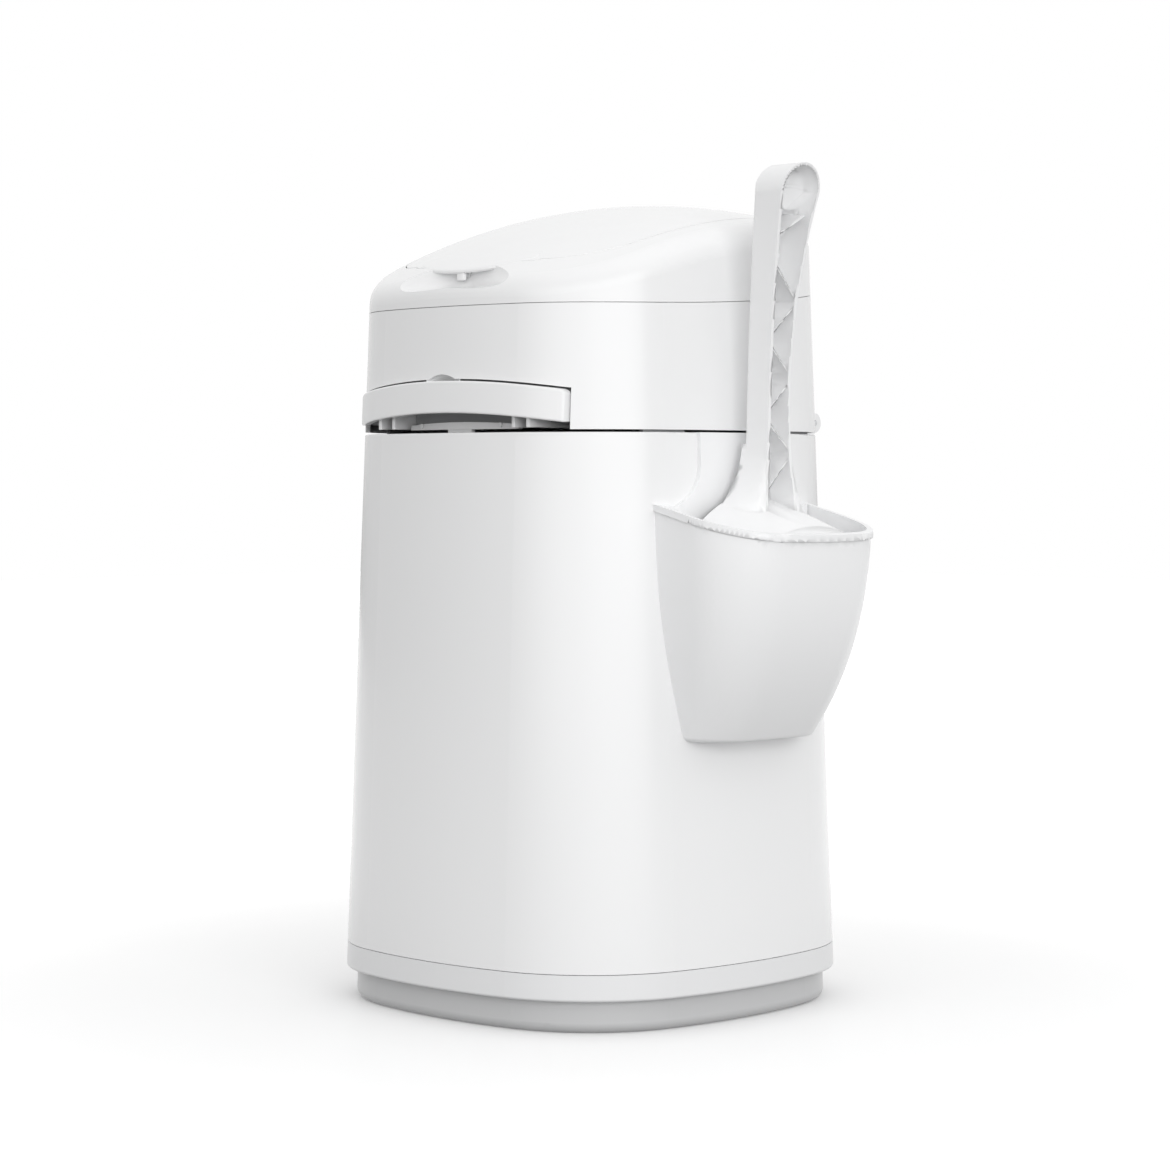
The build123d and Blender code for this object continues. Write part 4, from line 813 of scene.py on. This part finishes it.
@dataclass
class LidLip:
    """Lip of the lid: a thin visor that reaches over the thumb recess on one arc."""

    half: float = 0.0425
    reach: float = 0.0964
    arc: float = 0.076
    tuck: float = 0.012
    lid_inset: float = 0.0337
    side: float = 0.274
    flat_half: float = 0.1205
    thickness: float = 0.0021
    edge: float = 0.0009
    proud: float = 0.00018
    tab_half: float = 0.0029
    tab_deep: Span = (-0.0954, -0.0930)
    tab_low: float = 0.3818
    tuck_share: float = 0.8
    top_steps: int = 14
    nose_steps: int = 9
    side_steps: int = 24
    crease: float = 40.0

    def section(self, x: float) -> list[Point]:
        """Find the points round the lip at one place.

        Args:
            x: Distance from the middle.

        Returns:
            The points: top, nose, underside.
        """
        radius = self.side - self.lid_inset
        lid = self.side - self.flat_half - math.sqrt(radius**2 - x**2)
        front = -self.reach + drop(self.arc, x)
        rear = lid + self.tuck
        tops = []
        for step in range(self.top_steps + 1):
            y = rear + (front + self.edge - rear) * step / self.top_steps
            rise = max(0.0, min(1.0, (rear - y) / (self.tuck * self.tuck_share)))
            tops.append((y, self.proud * (2 * rise * rise * (3 - 2 * rise) - 1)))
        nose = []
        for step in range(1, self.nose_steps):
            turn = math.radians(180 * step / self.nose_steps)
            lift = self.proud - self.edge * (1 - math.cos(turn))
            nose.append((front + self.edge * (1 - math.sin(turn)), lift))
        under = [(y, -self.thickness) for y, _ in tops[::-3]]
        return [(x, y, dome_top(x, y) + lift) for y, lift in tops + nose + under]

    def build(self, finish: Material) -> None:
        """Loft the lip and fit it over the lid's front edge.

        Args:
            finish: Plastic of the shell.
        """
        bm = bmesh.new()
        count = self.side_steps
        turns = [math.radians(90 * step / count) for step in range(-count, count + 1)]
        loft(bm, [self.section(self.half * math.sin(turn)) for turn in turns])
        front, rear = self.tab_deep
        high = dome_top(0.0, front) - self.thickness / 2
        side = [(front, self.tab_low), (rear, self.tab_low), (rear, high), (front, high)]
        prism(bm, side, (-self.tab_half, self.tab_half), self.edge)
        obj = dressed_object("lid_lip", bm, finish)
        sharpen(obj, self.crease)
        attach(obj, "lid")
        LOG.info("fitted the lid's lip")


@dataclass
class FingerRelief:
    """Shallow dish behind the finger relief over the pull handle."""

    half: float = 0.0126
    low: float = 0.3268
    high: float = 0.3338
    depth: float = 0.0052
    skin: float = 0.0008
    behind: float = 0.0006
    rows: int = 12
    half_cols: int = 12
    crease: float = 40.0

    def build(self, finish: Material) -> None:
        """Press the dish and set it behind the wall.

        Args:
            finish: Plastic of the shell.
        """
        bm = bmesh.new()
        grids = []
        for back in (0.0, self.skin):
            grid = []
            for row in range(self.rows + 1):
                z = self.low + (self.high - self.low) * row / self.rows
                line = []
                for col in range(2 * self.half_cols + 1):
                    x = self.half * (col / self.half_cols - 1)
                    hollow = self.depth * max(0.0, 1 - (x / self.half) ** 2) * (1 - (row / self.rows) ** 2)
                    line.append(bm.verts.new((x, front_wall(x, self.behind + hollow + back, z), z)))
                grid.append(line)
            grids.append(grid)
        for grid in grids:
            for low, high in zip(grid, grid[1:]):
                self.strip(bm, low, high)
        rims = [
            (grid[0], [row[-1] for row in grid], grid[-1][::-1], [row[0] for row in grid][::-1])
            for grid in grids
        ]
        for line, other in zip(*rims):
            self.strip(bm, line, other)
        obj = dressed_object("finger_relief", bm, finish)
        sharpen(obj, self.crease)
        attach(obj, "top_section")
        LOG.info("set the finger relief")

    @staticmethod
    def strip(bm: BMesh, line: list, other: list) -> None:
        """Join two lines of vertices with a strip of faces."""
        for i in range(len(line) - 1):
            bm.faces.new((line[i], line[i + 1], other[i + 1], other[i]))


@dataclass
class BelliedForm:
    """Scoop pocket or pan whose sides swell on one long arc."""

    name: str
    node: str
    body: str
    slot: str
    keep: float
    inset: float = 0.0
    fade: Span = (0.2655, 0.272)
    slice_step: float = 0.004
    slice_low: float = 0.140
    slice_high: float = 0.248
    cut_from: float = 0.030
    cut_step: float = 0.003
    cut_count: int = 5
    overshoot: float = 1.05
    near_wall: Span = (0.112, 0.14)

    def tree(self) -> GeometryTree:
        """Build the group that swells the sides.

        Returns:
            The group.
        """
        made = GeometryTree(
            "belly",
            {
                "Swell radius": 0.390, "Swell height": 0.250, "Swell half": 0.0582, "Rim half": 0.064,
                "Rim height": 0.2645, "Taper": 0.178, "Inset": self.inset, "Keep": self.keep,
                "Fade low": self.fade[0], "Fade high": self.fade[1], "Wall radius": 0.266,
            },
        )
        knob, maths = made.knob, made.math
        split = made.add("ShaderNodeSeparateXYZ", Vector=made.add("InputPosition").outputs[0])
        x, y, z = split.outputs[0], split.outputs[1], split.outputs[2]
        rise = maths("SUBTRACT", z, knob("Swell height"))
        radius = knob("Swell radius")
        squares = maths("SUBTRACT", maths("MULTIPLY", radius, radius), maths("MULTIPLY", rise, rise))
        swelled = maths("SUBTRACT", knob("Swell half"), maths("SUBTRACT", radius, maths("SQRT", squares)))
        fall = maths("MULTIPLY", knob("Taper"), maths("SUBTRACT", knob("Rim height"), z))
        straight = maths("SUBTRACT", knob("Rim half"), fall)
        change = maths("SUBTRACT", swelled, straight)
        across = maths("ABSOLUTE", y)
        side = maths("SUBTRACT", straight, knob("Inset"))
        still = maths("MULTIPLY", side, knob("Keep"))
        share = maths("DIVIDE", maths("SUBTRACT", across, still), maths("SUBTRACT", side, still))
        share = maths("MINIMUM", maths("MAXIMUM", share, 0.0), self.overshoot)
        fade = add_span(made.tree, z, (knob("Fade low"), knob("Fade high")), (1.0, 0.0), smooth=True)
        shift = maths("MULTIPLY", maths("MULTIPLY", change, share), fade)
        moved = maths("ADD", y, maths("MULTIPLY", maths("SIGN", y), shift))
        wall = knob("Wall radius")
        square = maths("MULTIPLY", wall, wall)
        before = maths("SQRT", maths("SUBTRACT", square, maths("MULTIPLY", y, y)))
        after = maths("SQRT", maths("SUBTRACT", square, maths("MULTIPLY", moved, moved)))
        near = add_span(made.tree, x, self.near_wall, (1.0, 0.0))
        follow = maths("MULTIPLY", maths("SUBTRACT", after, before), near)
        place = made.vector(maths("ADD", x, follow), moved, z)
        shaped = made.add("SetPosition", Geometry=made.entry.outputs["Geometry"], Position=place)
        made.close(shaped.outputs[0])
        return made

    def sliced(self) -> Mesh:
        """Copy the CAD piece and cut its faces finely enough to bend."""
        bm = merged_copy(self.node)
        count = int((self.slice_high - self.slice_low) / self.slice_step) + 1
        cuts = [((0, 0, self.slice_low + i * self.slice_step), (0, 0, 1)) for i in range(count)]
        for sign in (-1, 1):
            places = [sign * (self.cut_from + i * self.cut_step) for i in range(self.cut_count)]
            cuts += [((0, place, 0), (0, 1, 0)) for place in places]
        for place, normal in cuts:
            geom = bm.verts[:] + bm.edges[:] + bm.faces[:]
            bmesh.ops.bisect_plane(bm, geom=geom, dist=SLIVER, plane_co=place, plane_no=normal)
        bmesh.ops.remove_doubles(bm, verts=bm.verts, dist=MERGE)
        bmesh.ops.triangulate(bm, faces=bm.faces)
        return plain_mesh(f"{self.name}_sliced", bm)

    def build(self, finish: Material) -> None:
        """Swell the piece and put it in the place of its CAD node.

        Args:
            finish: Plastic of the piece.
        """
        obj = self.tree().make(self.name, self.sliced(), finish)
        sharpen(obj)
        weigh_normals(obj)
        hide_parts(self.node)
        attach(obj, self.body)
        LOG.info("swelled %s", self.name)


@dataclass
class CoilSpring:
    """Compression spring with closed ends, laid along Y."""

    name: str
    node: str
    joint: str
    travel: float
    turns: float
    wire: float
    steps: int = 26
    sides: int = 10
    seat: float = 0.0002

    def tree(self) -> GeometryTree:
        """Build the group that winds a spring.

        Returns:
            The group.
        """
        made = GeometryTree(
            "coil_spring",
            {"Turns": self.turns, "Coil radius": 0.003, "Wire radius": 0.0006, "Length": 0.09},
        )
        wire = made.knob("Wire radius")
        closed = made.math("MULTIPLY", wire, 2.0)
        free = made.math("SUBTRACT", made.knob("Length"), made.math("MULTIPLY", wire, 6.0))
        radius = made.knob("Coil radius")
        middle = made.add(
            "CurveSpiral", Resolution=self.steps, Rotations=made.knob("Turns"),
            Start_Radius=radius, End_Radius=radius, Height=free,
        )
        end = made.add(
            "CurveSpiral", Resolution=self.steps, Rotations=1.0,
            Start_Radius=radius, End_Radius=radius, Height=closed,
        )
        above = made.vector(0.0, 0.0, made.math("ADD", free, closed))
        top = made.add("Transform", Geometry=end.outputs[0], Translation=above)
        lifted = made.add("Transform", Geometry=middle.outputs[0], Translation=made.vector(0.0, 0.0, closed))
        joined = made.add("JoinGeometry")
        for part in (top, lifted, end):
            made.tree.links.new(part.outputs[0], joined.inputs[0])
        profile = made.add("CurvePrimitiveCircle", Resolution=self.sides, Radius=wire)
        solid = made.add(
            "CurveToMesh", Curve=joined.outputs[0], Profile_Curve=profile.outputs[0], Fill_Caps=True
        )
        made.close(solid.outputs[0])
        return made

    def build(self, finish: Material) -> None:
        """Wind the spring in the place of its CAD node.

        Args:
            finish: Steel of the wire.
        """
        low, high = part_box(self.node)
        middle = (low + high) / 2
        radius = (high.x - low.x) / 2 - self.wire
        length = high.y - low.y - 2 * self.seat
        obj = self.tree().make(
            self.name, point_mesh(self.name, [(0, 0, 0)]), finish,
            Turns=self.turns, Coil_radius=radius, Wire_radius=self.wire, Length=length,
        )
        place = Matrix.Translation((middle.x, low.y + self.seat + self.wire, middle.z))
        obj.data.transform(place @ Matrix.Rotation(-math.pi / 2, 4, "X"))
        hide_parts(self.node)
        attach(obj, "top_section")
        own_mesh(obj)
        LOG.info("wound %s", self.name)


@dataclass
class FilmRefill:
    """Pleated film that stands in the tray of the refill."""

    pleats: int = 12
    gap: float = 0.0006
    sheet: float = 0.00035
    wave: float = 0.0005
    corner: float = 0.020
    band: float = 0.0124
    corner_steps: int = 10
    steps: int = 260
    grain: float = 190.0
    grain_detail: float = 2.0

    def tree(self) -> GeometryTree:
        """Build the group that stands the pleats round the tray.

        Returns:
            The group.
        """
        made = GeometryTree(
            "film_pleats",
            {
                "Pleats": self.pleats, "Inner half": 0.057, "Outer half": 0.070, "Height": 0.02,
                "Sheet": self.sheet, "Wave": self.wave, "Seed": 3.0,
            },
        )
        outer = made.knob("Outer half")
        side = made.math("MULTIPLY", outer, 2.0)
        square = made.add("CurvePrimitiveQuadrilateral", Width=side, Height=side)
        rounded = made.add(
            "FilletCurve", {"mode": "POLY"}, Curve=square.outputs[0], Radius=self.corner,
            Count=self.corner_steps, Limit_Radius=True,
        )
        fine = made.add("ResampleCurve", Curve=rounded.outputs[0], Count=self.steps)
        profile = made.add(
            "CurvePrimitiveQuadrilateral", Width=made.knob("Sheet"), Height=made.knob("Height")
        )
        ring = made.add("CurveToMesh", Curve=fine.outputs[0], Profile_Curve=profile.outputs[0])
        line = made.add("MeshLine", Count=made.knob("Pleats"), Offset=made.vector())
        index = made.add("InputIndex").outputs[0]
        last = made.math("SUBTRACT", made.knob("Pleats"), 1.0)
        share = made.math("DIVIDE", index, last)
        ratio = made.math("DIVIDE", made.knob("Inner half"), outer)
        span = made.math("SUBTRACT", 1.0, ratio)
        size = made.math("ADD", ratio, made.math("MULTIPLY", share, span))
        stood = made.add(
            "InstanceOnPoints", Points=line.outputs[0], Instance=ring.outputs[0],
            Scale=made.vector(size, size, 1.0),
        )
        real = made.add("RealizeInstances", Geometry=stood.outputs[0])
        noise = made.add(
            "ShaderNodeTexNoise", {"noise_dimensions": "4D"}, W=made.knob("Seed"), Scale=self.grain,
            Detail=self.grain_detail,
        )
        centred = made.add(
            "ShaderNodeVectorMath", {"operation": "SUBTRACT"}, in_0=noise.outputs["Color"],
            in_1=(0.5, 0.5, 0.5),
        )
        moved = made.add(
            "ShaderNodeVectorMath", {"operation": "SCALE"}, in_0=centred.outputs[0], Scale=made.knob("Wave")
        )
        waved = made.add("SetPosition", Geometry=real.outputs[0], Offset=moved.outputs[0])
        made.close(waved.outputs[0])
        return made

    def build(self, finish: Material) -> None:
        """Pack the film into the tray.

        Args:
            finish: Film.
        """
        low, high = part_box("film_pack")
        height = high.z - low.z - 2 * self.wave
        obj = self.tree().make(
            "film_pleats", point_mesh("film_seed", [(0, 0, 0)]), finish,
            Outer_half=high.x - self.gap, Inner_half=high.x - self.band, Height=height,
        )
        obj.data.transform(Matrix.Translation((0, 0, (low.z + high.z) / 2)))
        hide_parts("film_pack")
        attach(obj, "top_section")
        LOG.info("packed the film")


@dataclass
class ScrewSet:
    """Pan-head screws with a cross recess, turned and threaded."""

    name: str
    node: str
    body: str
    head_radius: float
    head_height: float
    shank_radius: float
    thread_pitch: float = 0.0011
    heads_up: bool = False
    turn: float = 0.4
    thread_gap: float = 0.0004
    thread_end: float = 0.0006
    thread_share: float = 0.96
    ridge_share: float = 0.32
    thread_steps: int = 18
    sides: int = 28
    head: tuple = ((0.0, 0.0), (0.72, 0.02), (0.92, 0.2), (1.0, 0.5), (1.0, 1.0))
    cross: Point = (0.55, 0.13, 0.6)

    def pattern(self) -> Object:
        """Turn one screw, head at the origin and tip along +Z.

        Returns:
            The screw, not yet placed.
        """
        low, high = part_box(self.node)
        length = high.z - low.z
        profile = [(across * self.head_radius, deep * self.head_height) for across, deep in self.head]
        profile += [
            (self.shank_radius, self.head_height), (self.shank_radius, length - self.shank_radius),
            (0.0, length),
        ]
        bm = bmesh.new()
        verts = [bm.verts.new((r, 0.0, z)) for r, z in profile]
        edges = [bm.edges.new(pair) for pair in zip(verts, verts[1:])]
        bmesh.ops.spin(
            bm, geom=verts + edges, cent=(0, 0, 0), axis=(0, 0, 1), angle=2 * math.pi, steps=self.sides,
            use_duplicate=False,
        )
        bmesh.ops.remove_doubles(bm, verts=bm.verts, dist=SLIVER)
        bmesh.ops.recalc_face_normals(bm, faces=bm.faces)
        return place_object(f"{self.name}_pattern", plain_mesh(f"{self.name}_pattern", bm))

    def cutter(self) -> Object:
        """Make the cross that is sunk into the head.

        Returns:
            The cross as an object.
        """
        bm = bmesh.new()
        long, wide, deep = self.cross
        arm, half = long * self.head_radius, wide * self.head_radius
        depth = deep * self.head_height
        for size in ((arm, half), (half, arm)):
            made = bmesh.ops.create_cube(bm, size=2.0)
            scaled = Matrix.Diagonal((size[0], size[1], depth, 1))
            bmesh.ops.transform(bm, matrix=scaled, verts=made["verts"])
        return place_object(f"{self.name}_cross", plain_mesh(f"{self.name}_cross", bm))

    def tree(self) -> GeometryTree:
        """Build the group that sinks the recess, cuts the thread and sets out the screws.

        Returns:
            The group.
        """
        made = GeometryTree(
            "screw_set",
            {
                "Screw": None, "Cross": None, "Turn": 0.3, "Thread radius": 0.001, "Thread start": 0.002,
                "Thread turns": 6.0, "Pitch": 0.001, "Flip": 0.0,
            },
        )
        screw = made.add("ObjectInfo", Object=made.knob("Screw"))
        cross = made.add("ObjectInfo", Object=made.knob("Cross"))
        head = made.add("MeshBoolean", {"operation": "DIFFERENCE"})
        made.tree.links.new(screw.outputs["Geometry"], head.inputs[0])
        made.tree.links.new(cross.outputs["Geometry"], head.inputs[1])
        rise = made.math("MULTIPLY", made.knob("Thread turns"), made.knob("Pitch"))
        radius = made.knob("Thread radius")
        helix = made.add(
            "CurveSpiral", Resolution=self.thread_steps, Rotations=made.knob("Thread turns"),
            Start_Radius=radius, End_Radius=radius, Height=rise,
        )
        ridge_radius = made.math("MULTIPLY", made.knob("Pitch"), self.ridge_share)
        ridge = made.add("CurvePrimitiveCircle", Resolution=3, Radius=ridge_radius)
        thread = made.add(
            "CurveToMesh", Curve=helix.outputs[0], Profile_Curve=ridge.outputs[0], Fill_Caps=True
        )
        start = made.vector(0.0, 0.0, made.knob("Thread start"))
        placed = made.add("Transform", Geometry=thread.outputs[0], Translation=start)
        joined = made.add("JoinGeometry")
        made.tree.links.new(placed.outputs[0], joined.inputs[0])
        made.tree.links.new(head.outputs["Mesh"], joined.inputs[0])
        index = made.add("InputIndex").outputs[0]
        turn = made.math("MULTIPLY", index, made.knob("Turn"))
        set_out = made.add(
            "InstanceOnPoints", Points=made.entry.outputs["Geometry"], Instance=joined.outputs[0],
            Rotation=made.vector(made.knob("Flip"), 0.0, turn),
        )
        made.close(set_out.outputs[0], smooth=False)
        return made

    def build(self, finish: Material, places: list[Span]) -> None:
        """Drive the screws in the places of their CAD node.

        Args:
            finish: Steel of the screws.
            places: Plan places, in metres.
        """
        low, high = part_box(self.node)
        pattern, cross = self.pattern(), self.cutter()
        start = high.z if self.heads_up else low.z
        threaded = high.z - low.z - self.head_height - self.shank_radius - self.thread_end
        obj = self.tree().make(
            self.name, point_mesh(self.name, [(x, y, start) for x, y in places]), finish,
            Screw=pattern, Cross=cross, Thread_radius=self.shank_radius * self.thread_share,
            Thread_start=self.head_height + self.thread_gap, Thread_turns=threaded / self.thread_pitch,
            Pitch=self.thread_pitch, Flip=math.pi if self.heads_up else 0.0, Turn=self.turn,
        )
        for helper in (pattern, cross):
            bpy.data.objects.remove(helper)
        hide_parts(self.node)
        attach(obj, self.body)
        LOG.info("drove %s", self.name)


@dataclass(frozen=True)
class Card:
    """Soft light: its place round the object, size and brightness."""

    name: str
    azimuth: float
    distance: float
    height: float
    size: tuple[float, float]
    radiance: float
    aim: float


@dataclass(frozen=True)
class Studio:
    """Pale floor, soft lights and the camera."""

    turn: float = 45.064
    tilt: float = 1.9347
    distance: float = 1.69274
    aim_height: float = 0.27905
    side_shift: float = -0.0028
    focal_px: float = 3131.8
    frame_px: float = 1170.0
    floor_tone: float = 0.98
    floor_gloss: float = 0.04
    above: float = 0.95
    below: float = 0.3
    horizon_fade: float = 0.04
    glow: float = 2.0
    glow_left: Span = (-95.0, -15.0)
    glow_right: Span = (44.0, 53.0)
    glow_high: Span = (0.42, 0.7)
    floor_glow: Span = (0.03, 0.34)
    floor_spread: Span = (0.22, 0.85)
    shade_at: float = -98.0
    shade_half: float = 46.0
    shade_depth: float = 0.11
    sensor: float = 36.0
    clip: float = 20.0
    floor_half: float = 6.0
    floor_roughness: float = 0.12
    wash: Card = Card("wash", 18.0, 2.2, 0.6, (1.6, 1.0), 3.4, 0.3)

    def camera(self) -> None:
        """Place the camera and make it the scene's."""
        turn, tilt = math.radians(self.turn), math.radians(self.tilt)
        look = Vector((-math.sin(turn) * math.cos(tilt), math.cos(turn) * math.cos(tilt), -math.sin(tilt)))
        across = Vector((math.cos(turn), math.sin(turn), 0.0))
        target = Vector((0.0, 0.0, self.aim_height)) + across * self.side_shift
        level = Vector((look.x, look.y, 0.0)).normalized()
        eye = target - level * self.distance
        data = bpy.data.cameras.new("camera")
        data.sensor_fit = "HORIZONTAL"
        data.sensor_width = self.sensor
        data.lens = self.focal_px / self.frame_px * self.sensor
        data.clip_end = self.clip
        cam = place_object("camera", data)
        cam.location = eye
        cam.rotation_euler = look.to_track_quat("-Z", "Y").to_euler()
        bpy.context.scene.camera = cam

    def floor(self) -> None:
        """Lay the floor."""
        mesh = bpy.data.meshes.new("floor")
        half = self.floor_half
        corners = [(-half, -half, 0), (half, -half, 0), (half, half, 0), (-half, half, 0)]
        mesh.from_pydata(corners, [], [(0, 1, 2, 3)])
        obj = place_object("floor", mesh)
        mat, tree, shader = new_material("floor_card")
        out = next(node for node in tree.nodes if node.type == "OUTPUT_MATERIAL")
        tree.nodes.remove(shader)
        matt = add_node(tree, "ShaderNodeBsdfDiffuse", Color=(self.floor_tone,) * 3 + (1.0,))
        gloss = add_node(tree, "ShaderNodeBsdfAnisotropic", Roughness=self.floor_roughness)
        mix = self.blend(tree, self.floor_gloss, matt, gloss)
        coords = add_node(tree, "ShaderNodeTexCoord")
        away = add_node(tree, "ShaderNodeVectorMath", {"operation": "LENGTH"}, in_0=coords.outputs["Object"])
        bright = add_span(tree, away.outputs["Value"], self.floor_spread, self.floor_glow, smooth=True)
        lift = add_node(tree, "ShaderNodeEmission", Strength=bright)
        total = add_node(tree, "ShaderNodeAddShader", in_0=mix, in_1=lift.outputs[0])
        feed(tree, out, Surface=total.outputs[0])
        mesh.materials.append(mat)
        obj.visible_diffuse = False
        obj.visible_shadow = False

    def spot(self, azimuth: float, distance: float, height: float) -> Vector:
        """Find a place round the object.

        Args:
            azimuth: Degrees to the right of the camera, seen from above.
            distance: Distance from the middle of the floor.
            height: Height over the floor.

        Returns:
            The place.
        """
        turn = math.radians(self.turn - 90.0 + azimuth)
        return Vector((distance * math.cos(turn), distance * math.sin(turn), height))

    def card(self, card: Card) -> None:
        """Add a soft light that faces the middle of the floor from its own level.

        Args:
            card: Place, size and brightness of the light.
        """
        place = self.spot(card.azimuth, card.distance, card.height)
        data = bpy.data.lights.new(card.name, "AREA")
        data.shape = "RECTANGLE"
        data.size, data.size_y = card.size
        data.energy = card.radiance * math.pi * card.size[0] * card.size[1]
        obj = place_object(card.name, data)
        obj.location = place
        inwards = Vector((-place.x, -place.y, card.aim - place.z))
        obj.rotation_euler = inwards.to_track_quat("-Z", "Y").to_euler()
        obj.visible_camera = False
        obj.visible_glossy = False

    @staticmethod
    def blend(tree: NodeTree, share: object, first: Node, second: Node) -> NodeSocket:
        """Mix two shaders.

        Args:
            tree: Tree to add to.
            share: Share of the second, or its socket.
            first: Shader at share 0.
            second: Shader at share 1.

        Returns:
            The mixed shader.
        """
        mix = add_node(tree, "ShaderNodeMixShader", in_0=share, in_1=first.outputs[0], in_2=second.outputs[0])
        return mix.outputs[0]

    def azimuth(self, tree: NodeTree, split: Node) -> NodeSocket:
        """Find the azimuth of a direction.

        Args:
            tree: Tree of the world.
            split: Node with the three parts of the direction.

        Returns:
            Degrees to the right of the camera.
        """
        turn = combine(tree, "ARCTAN2", split.outputs["Y"], split.outputs["X"])
        return combine(tree, "SUBTRACT", combine(tree, "DEGREES", turn), self.turn - 90.0)

    def shaded(self, tree: NodeTree, azimuth: NodeSocket) -> NodeSocket:
        """Find the share of light that the dark side of the room leaves.

        Args:
            tree: Tree of the world.
            azimuth: The direction's azimuth.

        Returns:
            The share.
        """
        off = combine(tree, "ABSOLUTE", combine(tree, "SUBTRACT", azimuth, self.shade_at))
        return add_span(tree, off, (0.0, self.shade_half), (1.0 - self.shade_depth, 1.0), smooth=True)

    def soft_box(self, tree: NodeTree, split: Node, azimuth: NodeSocket, path: Node) -> NodeSocket:
        """Light that only shows in gloss: a wide soft box that fades to the left.

        Args:
            tree: Tree of the world.
            split: Node with the three parts of the direction.
            azimuth: The direction's azimuth.
            path: Node that tells the kind of ray.

        Returns:
            Its brightness.
        """
        left = add_span(tree, azimuth, self.glow_left, (0.0, self.glow), smooth=True)
        right = add_span(tree, azimuth, self.glow_right, (1.0, 0.0), smooth=True)
        high = add_span(tree, split.outputs["Z"], self.glow_high, (1.0, 0.0), smooth=True)
        box = combine(tree, "MULTIPLY", combine(tree, "MULTIPLY", left, right), high)
        return combine(tree, "MULTIPLY", box, path.outputs["Is Glossy Ray"])

    def room(self) -> None:
        """Light evenly from above and weakly from below, against plain white."""
        world = bpy.data.worlds.new("studio")
        bpy.context.scene.world = world
        world.use_nodes = True
        tree = world.node_tree
        tree.nodes.clear()
        coords = add_node(tree, "ShaderNodeTexCoord")
        split = add_node(tree, "ShaderNodeSeparateXYZ", in_0=coords.outputs["Generated"])
        level = (-self.horizon_fade, self.horizon_fade)
        fade = add_span(tree, split.outputs["Z"], level, (self.below, self.above))
        path = add_node(tree, "ShaderNodeLightPath")
        azimuth = self.azimuth(tree, split)
        even = combine(tree, "MULTIPLY", fade, self.shaded(tree, azimuth))
        total = combine(tree, "ADD", even, self.soft_box(tree, split, azimuth, path))
        white = (1.0, 1.0, 1.0, 1.0)
        soft = add_node(tree, "ShaderNodeBackground", Color=white, Strength=total)
        plain = add_node(tree, "ShaderNodeBackground", Color=white)
        seen = self.blend(tree, path.outputs["Is Camera Ray"], soft, plain)
        add_node(tree, "ShaderNodeOutputWorld", Surface=seen)

    def build(self) -> None:
        """Build the whole studio."""
        self.camera()
        self.floor()
        self.room()
        self.card(self.wash)
        bpy.context.scene.view_settings.view_transform = "Standard"


def main() -> None:
    """Build each part of the scene in order."""
    logging.basicConfig(level=logging.INFO, format="%(message)s")
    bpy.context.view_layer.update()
    Nodes().dress()
    made = bpy.data.materials
    steel = made[STEEL.name]
    for side in ("left", "right"):
        name, node = f"gate_spring_{side}", f"return_spring_{side}"
        CoilSpring(name, node, "gate_pull", 0.050, 15.0, 0.00065).build(steel)
    CoilSpring("bar_spring", "latch_spring", "latch_press", 0.003, 4.0, 0.0003).build(steel)
    FilmRefill().build(made[FILM.name])
    for piece in (PullHandle(), LidLip(), FingerRelief()):
        piece.build(made[SHELL.name])
    pocket = BelliedForm("pocket", "scoop_holder", "lower_pail", "holder_white", 0.7)
    pocket.build(made[HOLDER.name])
    pan = BelliedForm("scoop_pan", "scoop", "scoop", "scoop_white", 0.35, 0.0064, (0.266, 0.275))
    pan.build(made[SCOOP.name])
    side, back = CHASSIS_SCREWS
    ScrewSet("chassis_screws", "frame_screws", "top_section", 0.003, 0.0022, 0.0014).build(
        steel, [(x, y) for x in (-side, side) for y in (-back, back)]
    )
    side, back = TAB_SCREWS
    ScrewSet("tab_screws", "handle_screws", "gate", 0.0026, 0.0016, 0.0014, heads_up=True).build(
        steel, [(x, back) for x in (-side, side)]
    )
    Studio().build()


if __name__ == "__main__":
    main()
